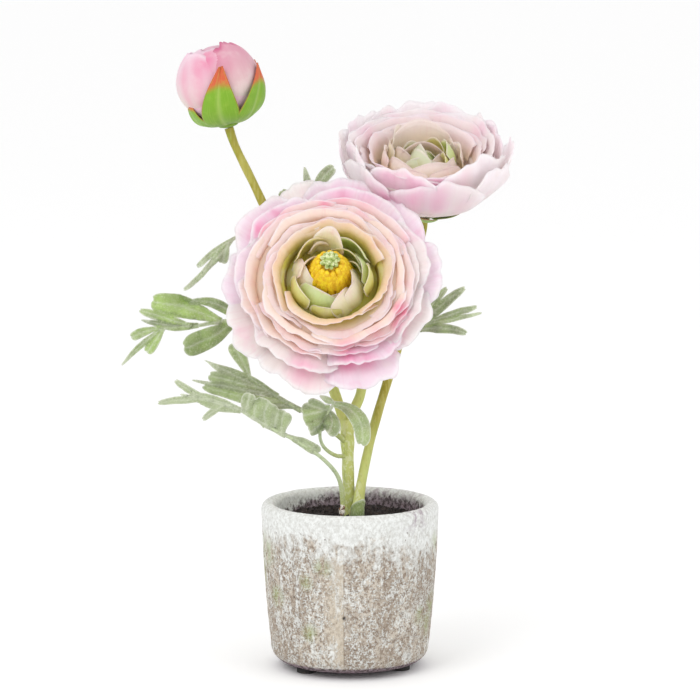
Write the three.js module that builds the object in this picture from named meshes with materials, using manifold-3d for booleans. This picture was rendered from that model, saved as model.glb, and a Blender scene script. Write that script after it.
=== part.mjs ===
// A ranunculus in a weathered cement pot: two open flowers, one bud, two stems and seven cut leaves.
// Millimetres, +Z up. The pot's feet stand on z = 0 and the viewer of the flowers is on the -Y side.

import * as THREE from 'three';
import { mergeVertices } from 'three/addons/utils/BufferGeometryUtils.js';
import Module from 'manifold-3d';

const wasm = await Module();
wasm.setup();

// Driving dimensions
const GAP = 0.3;                  // clearance between pieces that touch
const RIM_RADIUS = 44.6;          // pot, outside, just under its lip
const FOOT_RADIUS = 39.8;         // pot, outside, just above its rounded bottom edge
const POT_HEIGHT = 84;            // feet to the crest of the lip
const WALL = 7.2;                 // pot wall
const PAD_HEIGHT = 2.5;           // rubber feet
const PAD_RADIUS = 5;
const SOIL_DEPTH = 8.5;           // soil surface below the crest of the lip
const STEM_FOOT = 50;             // height at which the stems end in the soil
const FRONT_FLOWER = 109;         // width of the front flower
const SIDE_FLOWER = 87;           // width of the right flower
const BUD_RADIUS = 19.5;          // bud without its outer petals
const PETAL = 0.7;                // blade thickness of petals
const LEAF = 0.75;                // blade thickness of leaves
const GRID = 0.002;               // corners are rounded to this

// Places of the flowers: where the stem meets the flower, and the way the flower looks
const FRONT_SEAT = new THREE.Vector3(-9, -2, 188.5);
const FRONT_AXIS = new THREE.Vector3(0, -0.839, 0.545);
const SIDE_SEAT = new THREE.Vector3(37.5, 53, 224.5);
const SIDE_AXIS = new THREE.Vector3(0, -0.3, 0.954);
const BUD_SEAT = new THREE.Vector3(-61.3, 18, 274);
const BUD_AXIS = new THREE.Vector3(-0.19, 0, 0.982);

const TAU = Math.PI * 2;
const degrees = THREE.MathUtils.degToRad;

// Repeatable random numbers between 0 and 1
function seeded(seed) {
  let state = seed;
  return () => {
    state = (Math.imul(state, 1664525) + 1013904223) >>> 0;
    return state / 4294967296;
  };
}

// Solids: three.js geometry to a closed solid and back

function toSolid(geometry) {
  const bare = geometry.clone();
  bare.deleteAttribute('normal');
  bare.deleteAttribute('uv');
  const merged = mergeVertices(bare, 1e-4);
  return new wasm.Manifold(new wasm.Mesh({
    numProp: 3,
    vertProperties: new Float32Array(merged.attributes.position.array),
    triVerts: new Uint32Array(merged.index.array),
  }));
}

function fuse(solids) {
  return solids.reduce((whole, solid) => whole.add(solid));
}

function toGeometry(solid) {
  const mesh = solid.getMesh();
  const geometry = new THREE.BufferGeometry();
  geometry.setAttribute('position', new THREE.BufferAttribute(new Float32Array(mesh.vertProperties), 3));
  geometry.setIndex(Array.from(mesh.triVerts));
  return geometry.toNonIndexed();
}

// The largest body of a solid, in its own place. Corners are set on a fine grid, so that none lie
// almost together. A sealed hollow is filled and a loose scrap is dropped.
function largestBody(solid, place = new THREE.Matrix4()) {
  const geometry = toGeometry(solid).applyMatrix4(place);
  const values = geometry.attributes.position.array;
  for (let i = 0; i < values.length; i += 1) values[i] = Math.round(values[i] / GRID) * GRID;
  const bodies = toSolid(geometry).decompose();
  return toGeometry(bodies.reduce((kept, body) => (body.volume() > kept.volume() ? body : kept)));
}

// A lathe body around +Z from [radius, height] points that start and end on the axis
function turned(points, sides) {
  const profile = points.map(([radius, height]) => new THREE.Vector2(radius, height));
  return new THREE.LatheGeometry(profile, sides).rotateX(Math.PI / 2);
}

// A round bar along a curve, with a radius that changes along it
function bar(curve, radiusAt, steps, sides) {
  const frames = curve.computeFrenetFrames(steps, false);
  const points = [];
  for (let i = 0; i <= steps; i += 1) {
    const middle = curve.getPointAt(i / steps);
    for (let k = 0; k < sides; k += 1) {
      const turn = (k / sides) * TAU;
      points.push(middle.clone()
        .addScaledVector(frames.normals[i], Math.cos(turn) * radiusAt(i / steps))
        .addScaledVector(frames.binormals[i], Math.sin(turn) * radiusAt(i / steps)));
    }
  }
  const index = [];
  for (let i = 0; i < steps; i += 1) {
    for (let k = 0; k < sides; k += 1) {
      const a = i * sides + k;
      const b = i * sides + ((k + 1) % sides);
      index.push(a, b, b + sides, a, b + sides, a + sides);
    }
  }
  const last = steps * sides;
  for (let k = 1; k < sides - 1; k += 1) {
    index.push(0, k + 1, k, last, last + k, last + k + 1);
  }
  const geometry = new THREE.BufferGeometry().setFromPoints(points);
  geometry.setIndex(index);
  return toSolid(geometry);
}

// Blades: a flat pattern of [u, v] points and triangles, bent by place(u, v) and given a thickness.
// Both faces share one pattern, so a waved blade never crosses itself.

function blade(pattern, place, thickness) {
  const count = pattern.points.length;
  const nudge = 1e-3;
  const faces = [[], []];
  for (const [u, v] of pattern.points) {
    const middle = place(u, v);
    const along = place(u + nudge, v).sub(place(u - nudge, v));
    const across = place(u, v + nudge).sub(place(u, v - nudge));
    const normal = along.cross(across).normalize();
    faces[0].push(middle.clone().addScaledVector(normal, thickness / 2));
    faces[1].push(middle.clone().addScaledVector(normal, -thickness / 2));
  }
  const index = [];
  const edges = new Map();
  for (const [a, b, c] of pattern.triangles) {
    index.push(a, b, c, a + count, c + count, b + count);
    for (const [from, to] of [[a, b], [b, c], [c, a]]) {
      if (!edges.delete(`${to},${from}`)) edges.set(`${from},${to}`, [from, to]);
    }
  }
  for (const [a, b] of edges.values()) {
    index.push(b, a, a + count, b, a + count, b + count);
  }
  const geometry = new THREE.BufferGeometry().setFromPoints([...faces[0], ...faces[1]]);
  geometry.setIndex(index);
  return toSolid(geometry);
}

// u from -1 to 1 in columns, v from 0 to 1 in rows
function gridPattern(columns, rows, from = 0) {
  const points = [];
  const triangles = [];
  for (let j = 0; j <= rows; j += 1) {
    for (let i = 0; i <= columns; i += 1) {
      points.push([-1 + (2 * i) / columns, from + ((1 - from) * j) / rows]);
    }
  }
  for (let j = 0; j < rows; j += 1) {
    for (let i = 0; i < columns; i += 1) {
      const a = j * (columns + 1) + i;
      const b = a + columns + 1;
      triangles.push([a, a + 1, b + 1], [a, b + 1, b]);
    }
  }
  return { points, triangles };
}

// Point and outward normal of a cubic curve in the [radius, height] plane
function profileAt([p0, p1, p2, p3], v) {
  const w = 1 - v;
  const mix = (i) => w ** 3 * p0[i] + 3 * w * w * v * p1[i] + 3 * w * v * v * p2[i] + v ** 3 * p3[i];
  const slope = (i) => 3 * (w * w * (p1[i] - p0[i]) + 2 * w * v * (p2[i] - p1[i]) + v * v * (p3[i] - p2[i]));
  const length = Math.hypot(slope(0), slope(1));
  return { radius: mix(0), height: mix(1), outward: slope(1) / length, downward: slope(0) / length };
}

// One petal of a ring. It follows the ring's profile round the axis, lies over one neighbour and
// under the other, and its edge is waved. The waves follow the angle, so that layers stay nested.
function ringPetal(ring, turn, grow) {
  const half = degrees(ring.spread / 2);
  return (u, v) => {
    const angle = turn + u * half;
    const reach = v * grow * (1 - 0.12 * Math.abs(u) ** 3);
    const point = profileAt(ring.profile, reach);
    const ripple = Math.sin(5 * angle + ring.phase) + 0.6 * Math.sin(11 * angle - ring.phase);
    const wave = ring.wave * v * v * ripple;
    const offset = ring.lap * u + wave;
    const radius = point.radius + offset * point.outward;
    return new THREE.Vector3(
      radius * Math.cos(angle),
      radius * Math.sin(angle),
      point.height - offset * point.downward,
    );
  };
}

function petalRing(ring, random) {
  const pattern = gridPattern(ring.columns, ring.rows, ring.from);
  return Array.from({ length: ring.count }, (_, i) => {
    const turn = degrees(ring.start) + (i / ring.count) * TAU + (random() - 0.5) * 0.12;
    const grow = 1 - 0.06 * random();
    return blade(pattern, ringPetal(ring, turn, grow), PETAL);
  });
}

// One cupped petal that stands by itself on a flower's heart
function cuppedPetal(petal) {
  const { angle, distance, base, length, width, lean, cup, turn } = petal;
  const out = new THREE.Vector3(Math.cos(degrees(angle)), Math.sin(degrees(angle)), 0);
  const facing = out.clone().applyAxisAngle(new THREE.Vector3(0, 0, 1), degrees(turn));
  const side = new THREE.Vector3(-facing.y, facing.x, 0);
  const tilt = degrees(lean);
  return (u, v) => {
    const outline = 0.45 + 0.55 * Math.sin(Math.PI * Math.min(1, 0.15 + 0.6 * v));
    const reach = length * v * (1 - 0.3 * u * u);
    const bend = tilt + degrees(cup) * (v - 0.4);
    const across = (width / 2) * outline * u;
    const curl = (width / 2) * 0.55 * u * u * outline;
    return out.clone().multiplyScalar(distance)
      .addScaledVector(facing, Math.sin(bend) * reach - curl)
      .addScaledVector(side, across)
      .add(new THREE.Vector3(0, 0, base + Math.cos(bend) * reach));
  };
}

// Leaves. Each is one thin blade, cut into lobes, and bent towards the viewer or away from them.
// Its outline is drawn as seen from the front, in [x, z], and its depth y follows its rib and tips.

// A lobe's outline from its root to its blunt, three-toothed tip
function lobeShape(root, tip, { width, side = 0, point = 0 }) {
  const from = new THREE.Vector2(root.x, root.z);
  const to = new THREE.Vector2(tip[0], tip[2]);
  const across = to.clone().sub(from).normalize().rotateAround(new THREE.Vector2(), Math.PI / 2);
  const control = from.clone().lerp(to, 0.5).addScaledVector(across, side * 2);
  const curve = new THREE.QuadraticBezierCurve(from, control, to);
  const edge = (v, u) => {
    const at = Math.min(v, 1);
    const swell = 0.4 + 0.6 * Math.sin(Math.PI * Math.min(0.55, 0.75 * at)) ** 1.5;
    const taper = 1 - point * Math.max(0, at - 0.3) / 0.7;
    const tangent = curve.getTangent(at);
    return curve.getPoint(at)
      .addScaledVector(tangent, (v - at) * from.distanceTo(to))
      .add(new THREE.Vector2(-tangent.y, tangent.x).multiplyScalar((width / 2) * swell * taper * u));
  };
  const right = [0, 0.45, 0.85].map((v) => edge(v, -1));
  const teeth = [
    edge(1, -0.9), edge(0.93, -0.45), edge(1.05, 0.05), edge(0.93, 0.5), edge(0.99, 0.85),
  ];
  const left = [0.85, 0.45, 0].map((v) => edge(v, 1));
  return new THREE.Shape([...right, ...teeth, ...left]);
}

// The rib as a tapering strip
function ribShape(curve, thick) {
  const steps = 6;
  const sides = [1, -1].map((side) => Array.from({ length: steps + 1 }, (_, i) => {
    const middle = curve.getPointAt(i / steps);
    const tangent = curve.getTangentAt(i / steps);
    const flat = new THREE.Vector2(-tangent.z, tangent.x).normalize();
    return new THREE.Vector2(middle.x, middle.z).addScaledVector(flat, side * thick(i / steps));
  }));
  return new THREE.Shape([...sides[1], ...sides[0].reverse()]);
}

// All outlines joined in one flat plate, of which the front face gives the pattern
function joinedPattern(shapes) {
  const plate = fuse(shapes.map((shape) => toSolid(
    new THREE.ExtrudeGeometry(shape, { depth: 1, bevelEnabled: false }),
  )));
  const mesh = plate.getMesh();
  const points = [];
  const known = new Map();
  const number = (vertex) => {
    if (!known.has(vertex)) {
      known.set(vertex, points.length);
      points.push([mesh.vertProperties[3 * vertex], mesh.vertProperties[3 * vertex + 1]]);
    }
    return known.get(vertex);
  };
  const triangles = [];
  for (let i = 0; i < mesh.triVerts.length; i += 3) {
    const face = Array.from(mesh.triVerts.slice(i, i + 3));
    if (face.every((vertex) => mesh.vertProperties[3 * vertex + 2] > 0.5)) triangles.push(face.map(number));
  }
  return { points, triangles };
}

// A leaf's stalk starts inside its stem and is cut back to a small gap from it
function leafSolid({ rib, stalk, blade: bladeFrom, lobes }, stems) {
  const curve = new THREE.CatmullRomCurve3(rib.map((point) => new THREE.Vector3(...point)));
  const known = [];
  for (let i = 0; i <= 12; i += 1) known.push(curve.getPointAt(i / 12));
  const shapes = [];
  for (const lobe of lobes) {
    const root = curve.getPointAt(lobe.at);
    const tip = new THREE.Vector3(...lobe.tip);
    known.push(tip, root.clone().lerp(tip, 0.5).add(new THREE.Vector3(0, -(lobe.bow ?? 0), 0)));
    shapes.push(lobeShape(root, lobe.tip, lobe));
  }
  const depth = (x, z) => {
    let sum = 0;
    let weights = 0;
    for (const point of known) {
      const weight = 1 / (((point.x - x) ** 2 + (point.z - z) ** 2 + 2) ** 2);
      sum += weight * point.y;
      weights += weight;
    }
    return sum / weights;
  };
  const thick = (at) => THREE.MathUtils.lerp(stalk, 0.6, at);
  const bladeRib = new THREE.CatmullRomCurve3([0, 0.25, 0.5, 0.75, 1].map(
    (share) => curve.getPointAt(THREE.MathUtils.lerp(bladeFrom, 1, share)),
  ));
  const pattern = joinedPattern([ribShape(bladeRib, thick), ...shapes]);
  const sheet = blade(pattern, (x, z) => new THREE.Vector3(x, depth(x, z), z), LEAF);
  const stalkCurve = new THREE.CatmullRomCurve3([0, 0.25, 0.5, 0.75, 1].map(
    (share) => curve.getPointAt(share * Math.min(bladeFrom + 0.12, 1)),
  ));
  const leaf = fuse([sheet, bar(stalkCurve, thick, 5, 5)]);
  return stems.reduce((cut, stem) => cut.subtract(stem), leaf);
}

// The way from a flower's own frame, around +Z, to its place on its stem
function placeOn(seat, axis) {
  const up = new THREE.Vector3(0, 0, 1);
  const turn = new THREE.Quaternion().setFromUnitVectors(up, axis.clone().normalize());
  return new THREE.Matrix4().compose(seat, turn, new THREE.Vector3(1, 1, 1));
}

const FRONT_PLACE = placeOn(FRONT_SEAT, FRONT_AXIS);
const SIDE_PLACE = placeOn(SIDE_SEAT, SIDE_AXIS);
const BUD_PLACE = placeOn(BUD_SEAT, BUD_AXIS);

const group = new THREE.Group();

function addPiece(name, geometry, color, roughness, metalness = 0) {
  geometry.computeVertexNormals();
  const material = new THREE.MeshStandardMaterial({ color, roughness, metalness });
  const mesh = new THREE.Mesh(geometry, material);
  mesh.name = name;
  group.add(mesh);
  return mesh;
}

// Pot: cast cement, thick wall, rounded lip and rounded bottom edge, flat floor

const POT_BASE = PAD_HEIGHT + GAP;
const INNER_RIM = RIM_RADIUS - WALL;
const INNER_FOOT = FOOT_RADIUS - WALL;
const FLOOR = POT_BASE + WALL;
const EDGE = 8.5;                 // radius of the bottom edge

function arc(centreRadius, centreHeight, radius, fromDegrees, toDegrees, steps) {
  return Array.from({ length: steps + 1 }, (_, i) => {
    const turn = degrees(fromDegrees + ((toDegrees - fromDegrees) * i) / steps);
    return [centreRadius + radius * Math.cos(turn), centreHeight + radius * Math.sin(turn)];
  });
}

const LIP = WALL / 2;
const LIP_CENTRE = RIM_RADIUS - LIP;
const POT_PROFILE = [
  [0, POT_BASE],
  ...arc(FOOT_RADIUS - EDGE, POT_BASE + EDGE, EDGE, -90, -6, 4),
  [(RIM_RADIUS + FOOT_RADIUS) / 2 + 0.8, POT_HEIGHT * 0.55],
  ...arc(LIP_CENTRE, POT_HEIGHT - LIP, LIP, 0, 180, 5),
  ...arc(INNER_FOOT - EDGE, FLOOR + EDGE, EDGE, 0, -90, 2),
  [0, FLOOR],
];
addPiece('pot', turned(POT_PROFILE, 32), 0xc9c4ba, 0.95);

// Feet: three round rubber pads, about a third of a turn apart
const PADS = { foot_left: [-21.7, -16.9], foot_right: [25.1, -11.2], foot_back: [-3.4, 27.3] };
for (const [name, [x, y]] of Object.entries(PADS)) {
  const pad = new THREE.CylinderGeometry(PAD_RADIUS, PAD_RADIUS, PAD_HEIGHT, 12).rotateX(Math.PI / 2);
  addPiece(name, pad.translate(x, y, PAD_HEIGHT / 2), 0x2b2a29, 0.8);
}

// Stems

function stemCurve(points) {
  return new THREE.CatmullRomCurve3(points.map((point) => new THREE.Vector3(...point)));
}

const TRUNK_RADIUS = 3;
const BRANCH_RADIUS = 2.5;
const BUD_STEM_RADIUS = 2;
const RIGHT_RADIUS = 2.3;

function seatPoint(seat, axis, drop) {
  return seat.clone().addScaledVector(axis.clone().normalize(), -drop).toArray();
}

const SEPAL_CAP = 3;              // height of the green cap between stem and flower
const STEM_END = SEPAL_CAP + 2 * GAP;

// A stem that stands in the soil starts at its foot, and the hole for it starts a little lower
const trunkCurve = (foot) => stemCurve([
  [0, 0, foot], [-0.3, 0, 82], [-1, 0, 100], [-1.3, 1, 114], [-2, 2, 125],
]);
const FRONT_BRANCH = stemCurve([
  [-1.5, 1, 116], [0.5, 3.5, 126], [5.5, 9, 138], [6, 17, 155], [0, 22, 170],
  seatPoint(FRONT_SEAT, FRONT_AXIS, 14), seatPoint(FRONT_SEAT, FRONT_AXIS, STEM_END),
]);
const BUD_BRANCH = stemCurve([
  [-1.5, 1, 118], [-4, 4.5, 127], [-10, 11, 144], [-22, 17, 178], [-44.1, 19, 233],
  seatPoint(BUD_SEAT, new THREE.Vector3(-0.28, 0, 0.96), 12), seatPoint(BUD_SEAT, BUD_AXIS, STEM_END),
]);
const rightCurve = (foot) => stemCurve([
  [3, -8, foot], [4, -5.6, 82], [10, 4, 113], [19, 15, 143], [24, 21, 158], [33, 43, 200],
  seatPoint(SIDE_SEAT, SIDE_AXIS, 8), seatPoint(SIDE_SEAT, SIDE_AXIS, STEM_END),
]);

function trunkSolid(extra) {
  return fuse([
    bar(trunkCurve(STEM_FOOT - extra), () => TRUNK_RADIUS + extra, 4, 10),
    bar(FRONT_BRANCH, () => BRANCH_RADIUS + extra, 11, 7),
    bar(BUD_BRANCH, (at) => THREE.MathUtils.lerp(2.7, BUD_STEM_RADIUS, at) + extra, 11, 7),
  ]);
}

// The right stem is a little thicker where it leaves the soil
function rightStemSolid(extra) {
  const thicker = (at) => 0.9 * Math.exp(-(((at - 0.17) / 0.06) ** 2));
  return bar(rightCurve(STEM_FOOT - extra), (at) => RIGHT_RADIUS + thicker(at) + extra, 18, 8);
}

addPiece('stem_trunk', largestBody(trunkSolid(0)), 0xb8bd74, 0.6);
addPiece('stem_right', largestBody(rightStemSolid(0)), 0xb9b86c, 0.6);

const TRUNK_CLEAR = trunkSolid(GAP);
const RIGHT_CLEAR = rightStemSolid(GAP);

// The leaves of this plant. 'blade' is where the blade starts along the rib, and 'at' is a lobe's root
// along it, from 0 to 1. A tip is a place, 'bow' pushes the lobe's middle forward and 'side' bends it.

const LEAVES = {
  leaf_left: {
    rib: [[-18, 15, 166], [-30, 17, 170], [-46, 13, 174], [-60.5, 8, 174.5], [-79, 2, 172.5], [-96, -4, 172]],
    stalk: 1.2,
    blade: 0.45,
    lobes: [
      { at: 0.6, tip: [-98.5, -3, 185], width: 11, bow: 1.5, side: -1.5 },
      { at: 0.52, tip: [-82, 8, 185], width: 7, bow: 3, side: -3.5, point: 0.7 },
      { at: 0.62, tip: [-79, -6, 160], width: 9.5, bow: 1.5, side: 1.5 },
      { at: 0.78, tip: [-105.5, -8, 178], width: 6, bow: 0.5, point: 0.3 },
      { at: 0.72, tip: [-92, -6, 168], width: 9, bow: 0.5 },
      { at: 0.99, tip: [-109, -10, 167.5], width: 5, bow: 1, side: -1 },
      { at: 0.97, tip: [-113.5, -12, 154.5], width: 5, bow: 1, point: 0.4, side: -1 },
      { at: 0.96, tip: [-101, -10, 160], width: 5, bow: 1 },
    ],
  },
  leaf_upper_left: {
    rib: [[-41.5, 19, 226], [-50, 16, 221], [-58, 12, 215.5], [-66, 8, 211]],
    stalk: 1.1,
    blade: 0.4,
    lobes: [
      { at: 0.6, tip: [-76.5, 5, 202], width: 4.5, bow: 1.5, side: -1 },
      { at: 0.7, tip: [-74, 1, 199.5], width: 5.5, bow: 2, side: 0.5 },
      { at: 0.98, tip: [-83.5, -3, 191.5], width: 4, bow: 2, side: 2 },
      { at: 0.8, tip: [-64, 7, 203], width: 4.5, bow: 0.5 },
    ],
  },
  leaf_low: {
    rib: [[-1, 1, 113], [-6, -4, 118], [-14, -8, 124.5], [-23, -11, 131], [-34, -14, 138], [-50.5, -16, 150]],
    stalk: 1.5,
    blade: 0.5,
    lobes: [
      { at: 0.84, tip: [-57, -14, 167], width: 8, bow: 0.5, side: -1 },
      { at: 0.72, tip: [-73, -18, 159], width: 11, bow: 1, point: 0.95 },
      { at: 0.8, tip: [-70, -21, 151.5], width: 7, bow: 0.5 },
      { at: 0.74, tip: [-78, -22, 149], width: 4, bow: 1, point: 0.5 },
      { at: 0.6, tip: [-53, -24, 137], width: 7, bow: 2.5 },
    ],
  },
  leaf_base: {
    rib: [[-3, -9.5, 66], [-3.5, -9, 82], [-5.5, -10, 97], [-12, -14, 106.5], [-25, -20, 117],
      [-41.5, -27, 127], [-57, -31, 137], [-68, -32, 141]],
    stalk: 1.4,
    blade: 0.62,
    lobes: [
      { at: 0.64, tip: [-32, -28, 134.5], width: 7.5, bow: 0.5, side: 1 },
      { at: 0.74, tip: [-42, -32, 137], width: 5, bow: 0.5 },
      { at: 0.9, tip: [-50, -32, 144], width: 8, bow: 1 },
      { at: 0.86, tip: [-80, -33, 146], width: 9, bow: 1, point: 0.3 },
      { at: 0.98, tip: [-86.5, -33, 150.5], width: 4.5, bow: 1, point: 0.3, side: 0.7 },
      { at: 0.99, tip: [-94, -35, 140.5], width: 4, bow: 1.5, point: 0.2, side: -0.7 },
      { at: 0.95, tip: [-73, -32, 129.5], width: 4.5, bow: 0.5 },
    ],
  },
  leaf_centre: {
    rib: [[-1, 0, 107], [-7, -5, 108], [-13, -9, 113], [-15, -13, 120], [-12, -17, 130], [-7, -20, 138]],
    stalk: 1.1,
    blade: 0.78,
    lobes: [
      { at: 0.8, tip: [-20, -25, 123], width: 8, bow: 2, side: 1 },
      { at: 0.85, tip: [-11, -26, 122.5], width: 9, bow: 2, side: 2 },
      { at: 0.86, tip: [-21.5, -22, 137], width: 9, bow: 1.5 },
      { at: 0.97, tip: [-15, -24, 141.5], width: 5, bow: 1, point: 0.8 },
      { at: 0.96, tip: [6, -31, 117.5], width: 8.5, bow: 3, side: 6 },
    ],
  },
  leaf_right: {
    rib: [[24.5, 21.5, 159], [27, 17, 162], [30, 13, 165.5], [34, 9, 170], [42, 6, 175]],
    stalk: 1.0,
    blade: 0.45,
    lobes: [
      { at: 0.55, tip: [57.5, 0, 192.5], width: 8.5, bow: 1, point: 0.5, side: 1 },
      { at: 0.6, tip: [48.5, 3, 192], width: 4, bow: 1, side: 1 },
      { at: 0.85, tip: [63.5, -2, 183], width: 5.5, bow: 1, side: 0.5 },
      { at: 0.6, tip: [58.5, -2, 169.5], width: 7, bow: 2, side: 2 },
    ],
  },
  leaf_top: {
    rib: [[-29, 18, 196], [-27, 25, 208], [-23, 29, 225], [-18, 30, 238]],
    stalk: 1.1,
    blade: 0.5,
    lobes: [
      { at: 0.9, tip: [-23, 29, 250], width: 6, bow: 0.5, point: 0.8 },
      { at: 0.98, tip: [-8, 24, 250.5], width: 7, bow: 2, side: 1 },
      { at: 0.7, tip: [-35, 27, 238], width: 6, bow: 1 },
      { at: 0.6, tip: [-12, 31, 228], width: 6, bow: 1 },
    ],
  },
};

for (const [name, leaf] of Object.entries(LEAVES)) {
  addPiece(name, largestBody(leafSolid(leaf, [TRUNK_CLEAR, RIGHT_CLEAR])), 0x9fb07c, 0.9);
}

// Soil: fills the pot up to its surface, with a hole for each stem and the base leaf's stalk

const SOIL_TOP = POT_HEIGHT - SOIL_DEPTH;

function soilSolid() {
  const wallSlope = (INNER_RIM - INNER_FOOT) / (POT_HEIGHT - LIP - FLOOR - EDGE);
  const edgeRadius = INNER_FOOT + wallSlope * (SOIL_TOP - 1 - FLOOR - EDGE) - GAP;
  const geometry = turned([
    [0, FLOOR + GAP],
    ...arc(INNER_FOOT - EDGE, FLOOR + EDGE + GAP, EDGE - GAP, -90, 0, 2),
    [edgeRadius, SOIL_TOP - 1],
    [edgeRadius * 0.8, SOIL_TOP],
    [edgeRadius * 0.5, SOIL_TOP + 0.6],
    [edgeRadius * 0.25, SOIL_TOP + 1],
    [0, SOIL_TOP + 1],
  ], 20);
  const place = geometry.attributes.position;
  for (let i = 0; i < place.count; i += 1) {
    const x = place.getX(i);
    const y = place.getY(i);
    if (place.getZ(i) > SOIL_TOP - 0.5 && Math.hypot(x, y) < edgeRadius * 0.9) {
      const lump = 0.8 * Math.sin(0.31 * x + 1) * Math.cos(0.37 * y) + 0.6 * Math.sin(0.83 * x + 0.71 * y);
      place.setZ(i, place.getZ(i) + lump);
    }
  }
  const [[x0, y0, z0], ...rib] = LEAVES.leaf_base.rib;
  const stalk = bar(stemCurve([[x0, y0, z0 - GAP], ...rib]), () => LEAVES.leaf_base.stalk + 2 * GAP, 12, 7);
  return [TRUNK_CLEAR, RIGHT_CLEAR, stalk].reduce((soil, stem) => soil.subtract(stem), toSolid(geometry));
}

addPiece('soil', largestBody(soilSolid()), 0x3c302b, 1);

// Front flower

const FRONT_RIM = FRONT_FLOWER / 2;
const FRONT_FLOOR = 14;           // floor of the bowl in the petals, where the heart sits
const FRONT_BOWL = 25;            // radius of that bowl
const FRONT_CREST = 18;           // height of the bowl's crest, which the inner layers stand on

// Upright inner layers, from the outside in, then the two wide outer layers
function frontRings() {
  const rings = [
    {
      count: 6,
      start: 100,
      spread: 84,
      columns: 5,
      rows: 3,
      from: 0.07,
      lap: 1.1,
      wave: 0.75,
      phase: 0.4,
      profile: [[5, 2.4], [26, 2.4], [42, 8], [FRONT_RIM + 1.5, 12]],
    },
    {
      count: 5,
      start: 70,
      spread: 94,
      columns: 5,
      rows: 1,
      from: 0,
      lap: 1,
      wave: 0.5,
      phase: 0.9,
      profile: [[42.3, 15.2], [45, 15.5], [48, 17], [FRONT_RIM - 5, 20.5]],
    },
  ];
  const layers = 4;
  const outer = 41;
  const inner = FRONT_BOWL + 2.2;
  for (let i = 0; i < layers; i += 1) {
    const radius = THREE.MathUtils.lerp(outer, inner, i / (layers - 1));
    const height = 23.5 + 5.5 * Math.sin((i / (layers - 1)) * Math.PI * 0.55);
    rings.push({
      count: 4,
      start: 40 + 52 * i,
      spread: 112,
      columns: 5,
      rows: 1,
      from: 0,
      lap: 0.75,
      wave: 0.35,
      phase: 1.4 + 0.25 * i,
      profile: [[radius - 0.8, FRONT_CREST - 1.8], [radius + 0.4, 19.5], [radius + 0.6, 22], [radius, height]],
    });
  }
  return rings;
}

function frontPetals() {
  const random = seeded(29);
  const core = toSolid(turned([
    [0, 0], [9, 0], [18, 6], [43, 13.5], [43.5, FRONT_CREST - 0.5],
    [FRONT_BOWL, FRONT_CREST], [FRONT_BOWL, FRONT_FLOOR], [0, FRONT_FLOOR],
  ], 18));
  return fuse([core, ...frontRings().flatMap((ring) => petalRing(ring, random))]);
}

addPiece('front_petals', largestBody(frontPetals(), FRONT_PLACE), 0xefcfd6, 0.75);

// Heart petals of the front flower. Angles run from +X towards the top of the flower.
const FRONT_HEART = [
  { angle: 96, distance: 15.5, length: 17, width: 11, lean: 12, cup: -10, turn: -35 },
  { angle: 58, distance: 19.5, length: 12, width: 18, lean: 14, cup: -30, turn: 0 },
  { angle: 62, distance: 15.5, length: 10, width: 12, lean: 12, cup: -30, turn: 5 },
  { angle: 12, distance: 19, length: 12, width: 13, lean: 12, cup: -30, turn: 0 },
  { angle: 22, distance: 14.5, length: 10, width: 8, lean: 8, cup: -35, turn: 20 },
  { angle: -14, distance: 15, length: 12, width: 10, lean: 8, cup: -20, turn: 20 },
  { angle: -36, distance: 18.5, length: 12, width: 11, lean: 10, cup: -25, turn: 15 },
  { angle: -58, distance: 19, length: 13, width: 11, lean: 8, cup: -20, turn: 40 },
  { angle: -78, distance: 14.8, length: 9, width: 11, lean: 12, cup: -40, turn: 10 },
  { angle: -122, distance: 18.5, length: 12, width: 16, lean: 16, cup: -50, turn: 0 },
  { angle: 187, distance: 18, length: 12, width: 12, lean: 6, cup: -25, turn: 25 },
  { angle: 196, distance: 14.5, length: 11, width: 10, lean: 4, cup: -25, turn: 25 },
  { angle: 150, distance: 15, length: 12, width: 12, lean: 8, cup: -30, turn: -20 },
  { angle: 128, distance: 20, length: 12, width: 14, lean: 14, cup: -35, turn: 0 },
];
const HEART_PLATE = 1.8;          // thickness of the plate that the heart petals grow from

// A plate with its cupped petals, kept out of a round well in its middle
function heartSolid(petals, floor, plateRadius, wellRadius) {
  const base = floor + GAP;
  const top = base + HEART_PLATE;
  const plate = toSolid(turned([[0, base], [plateRadius, base], [plateRadius, top], [0, top]], 16));
  const sheets = petals.map((petal) => blade(
    gridPattern(3, 2), cuppedPetal({ ...petal, base: base + HEART_PLATE / 2 }), PETAL,
  ));
  const whole = fuse([plate, ...sheets]);
  if (wellRadius === 0) return whole;
  const well = turned([[0, top], [wellRadius, top], [wellRadius, top + 30], [0, top + 30]], 16);
  return whole.subtract(toSolid(well));
}

const STAMEN_RADIUS = 11.6;       // dome of stamens over all
const frontHeart = heartSolid(FRONT_HEART, FRONT_FLOOR, FRONT_BOWL - 1, STAMEN_RADIUS + GAP);
addPiece('front_heart', largestBody(frontHeart, FRONT_PLACE), 0xc9c688, 0.75);

// Stamens: three rows of clubs that lean in over a dome
const STAMEN_BASE = FRONT_FLOOR + 2 * GAP + HEART_PLATE;
const STAMEN_ROWS = [
  { count: 12, radius: 8.6, base: 1, length: 13, lean: 5, thick: 1.4 },
  { count: 8, radius: 7, base: 8, length: 9, lean: 0, thick: 1.2 },
  { count: 6, radius: 5.9, base: 11, length: 7, lean: -2, thick: 0.9 },
];
const DOME_TOP = 15;

// One club: four-sided, thin at its foot and blunt at its top
function club({ radius, base, length, lean, thick }, turn) {
  const shape = turned([
    [0, 0], [thick * 0.6, 0], [thick * 1.1, length * 0.7], [0, length],
  ], 4);
  shape.rotateY(degrees(lean));
  shape.translate(radius, 0, STAMEN_BASE + base);
  return toSolid(shape.rotateZ(turn));
}

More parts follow.
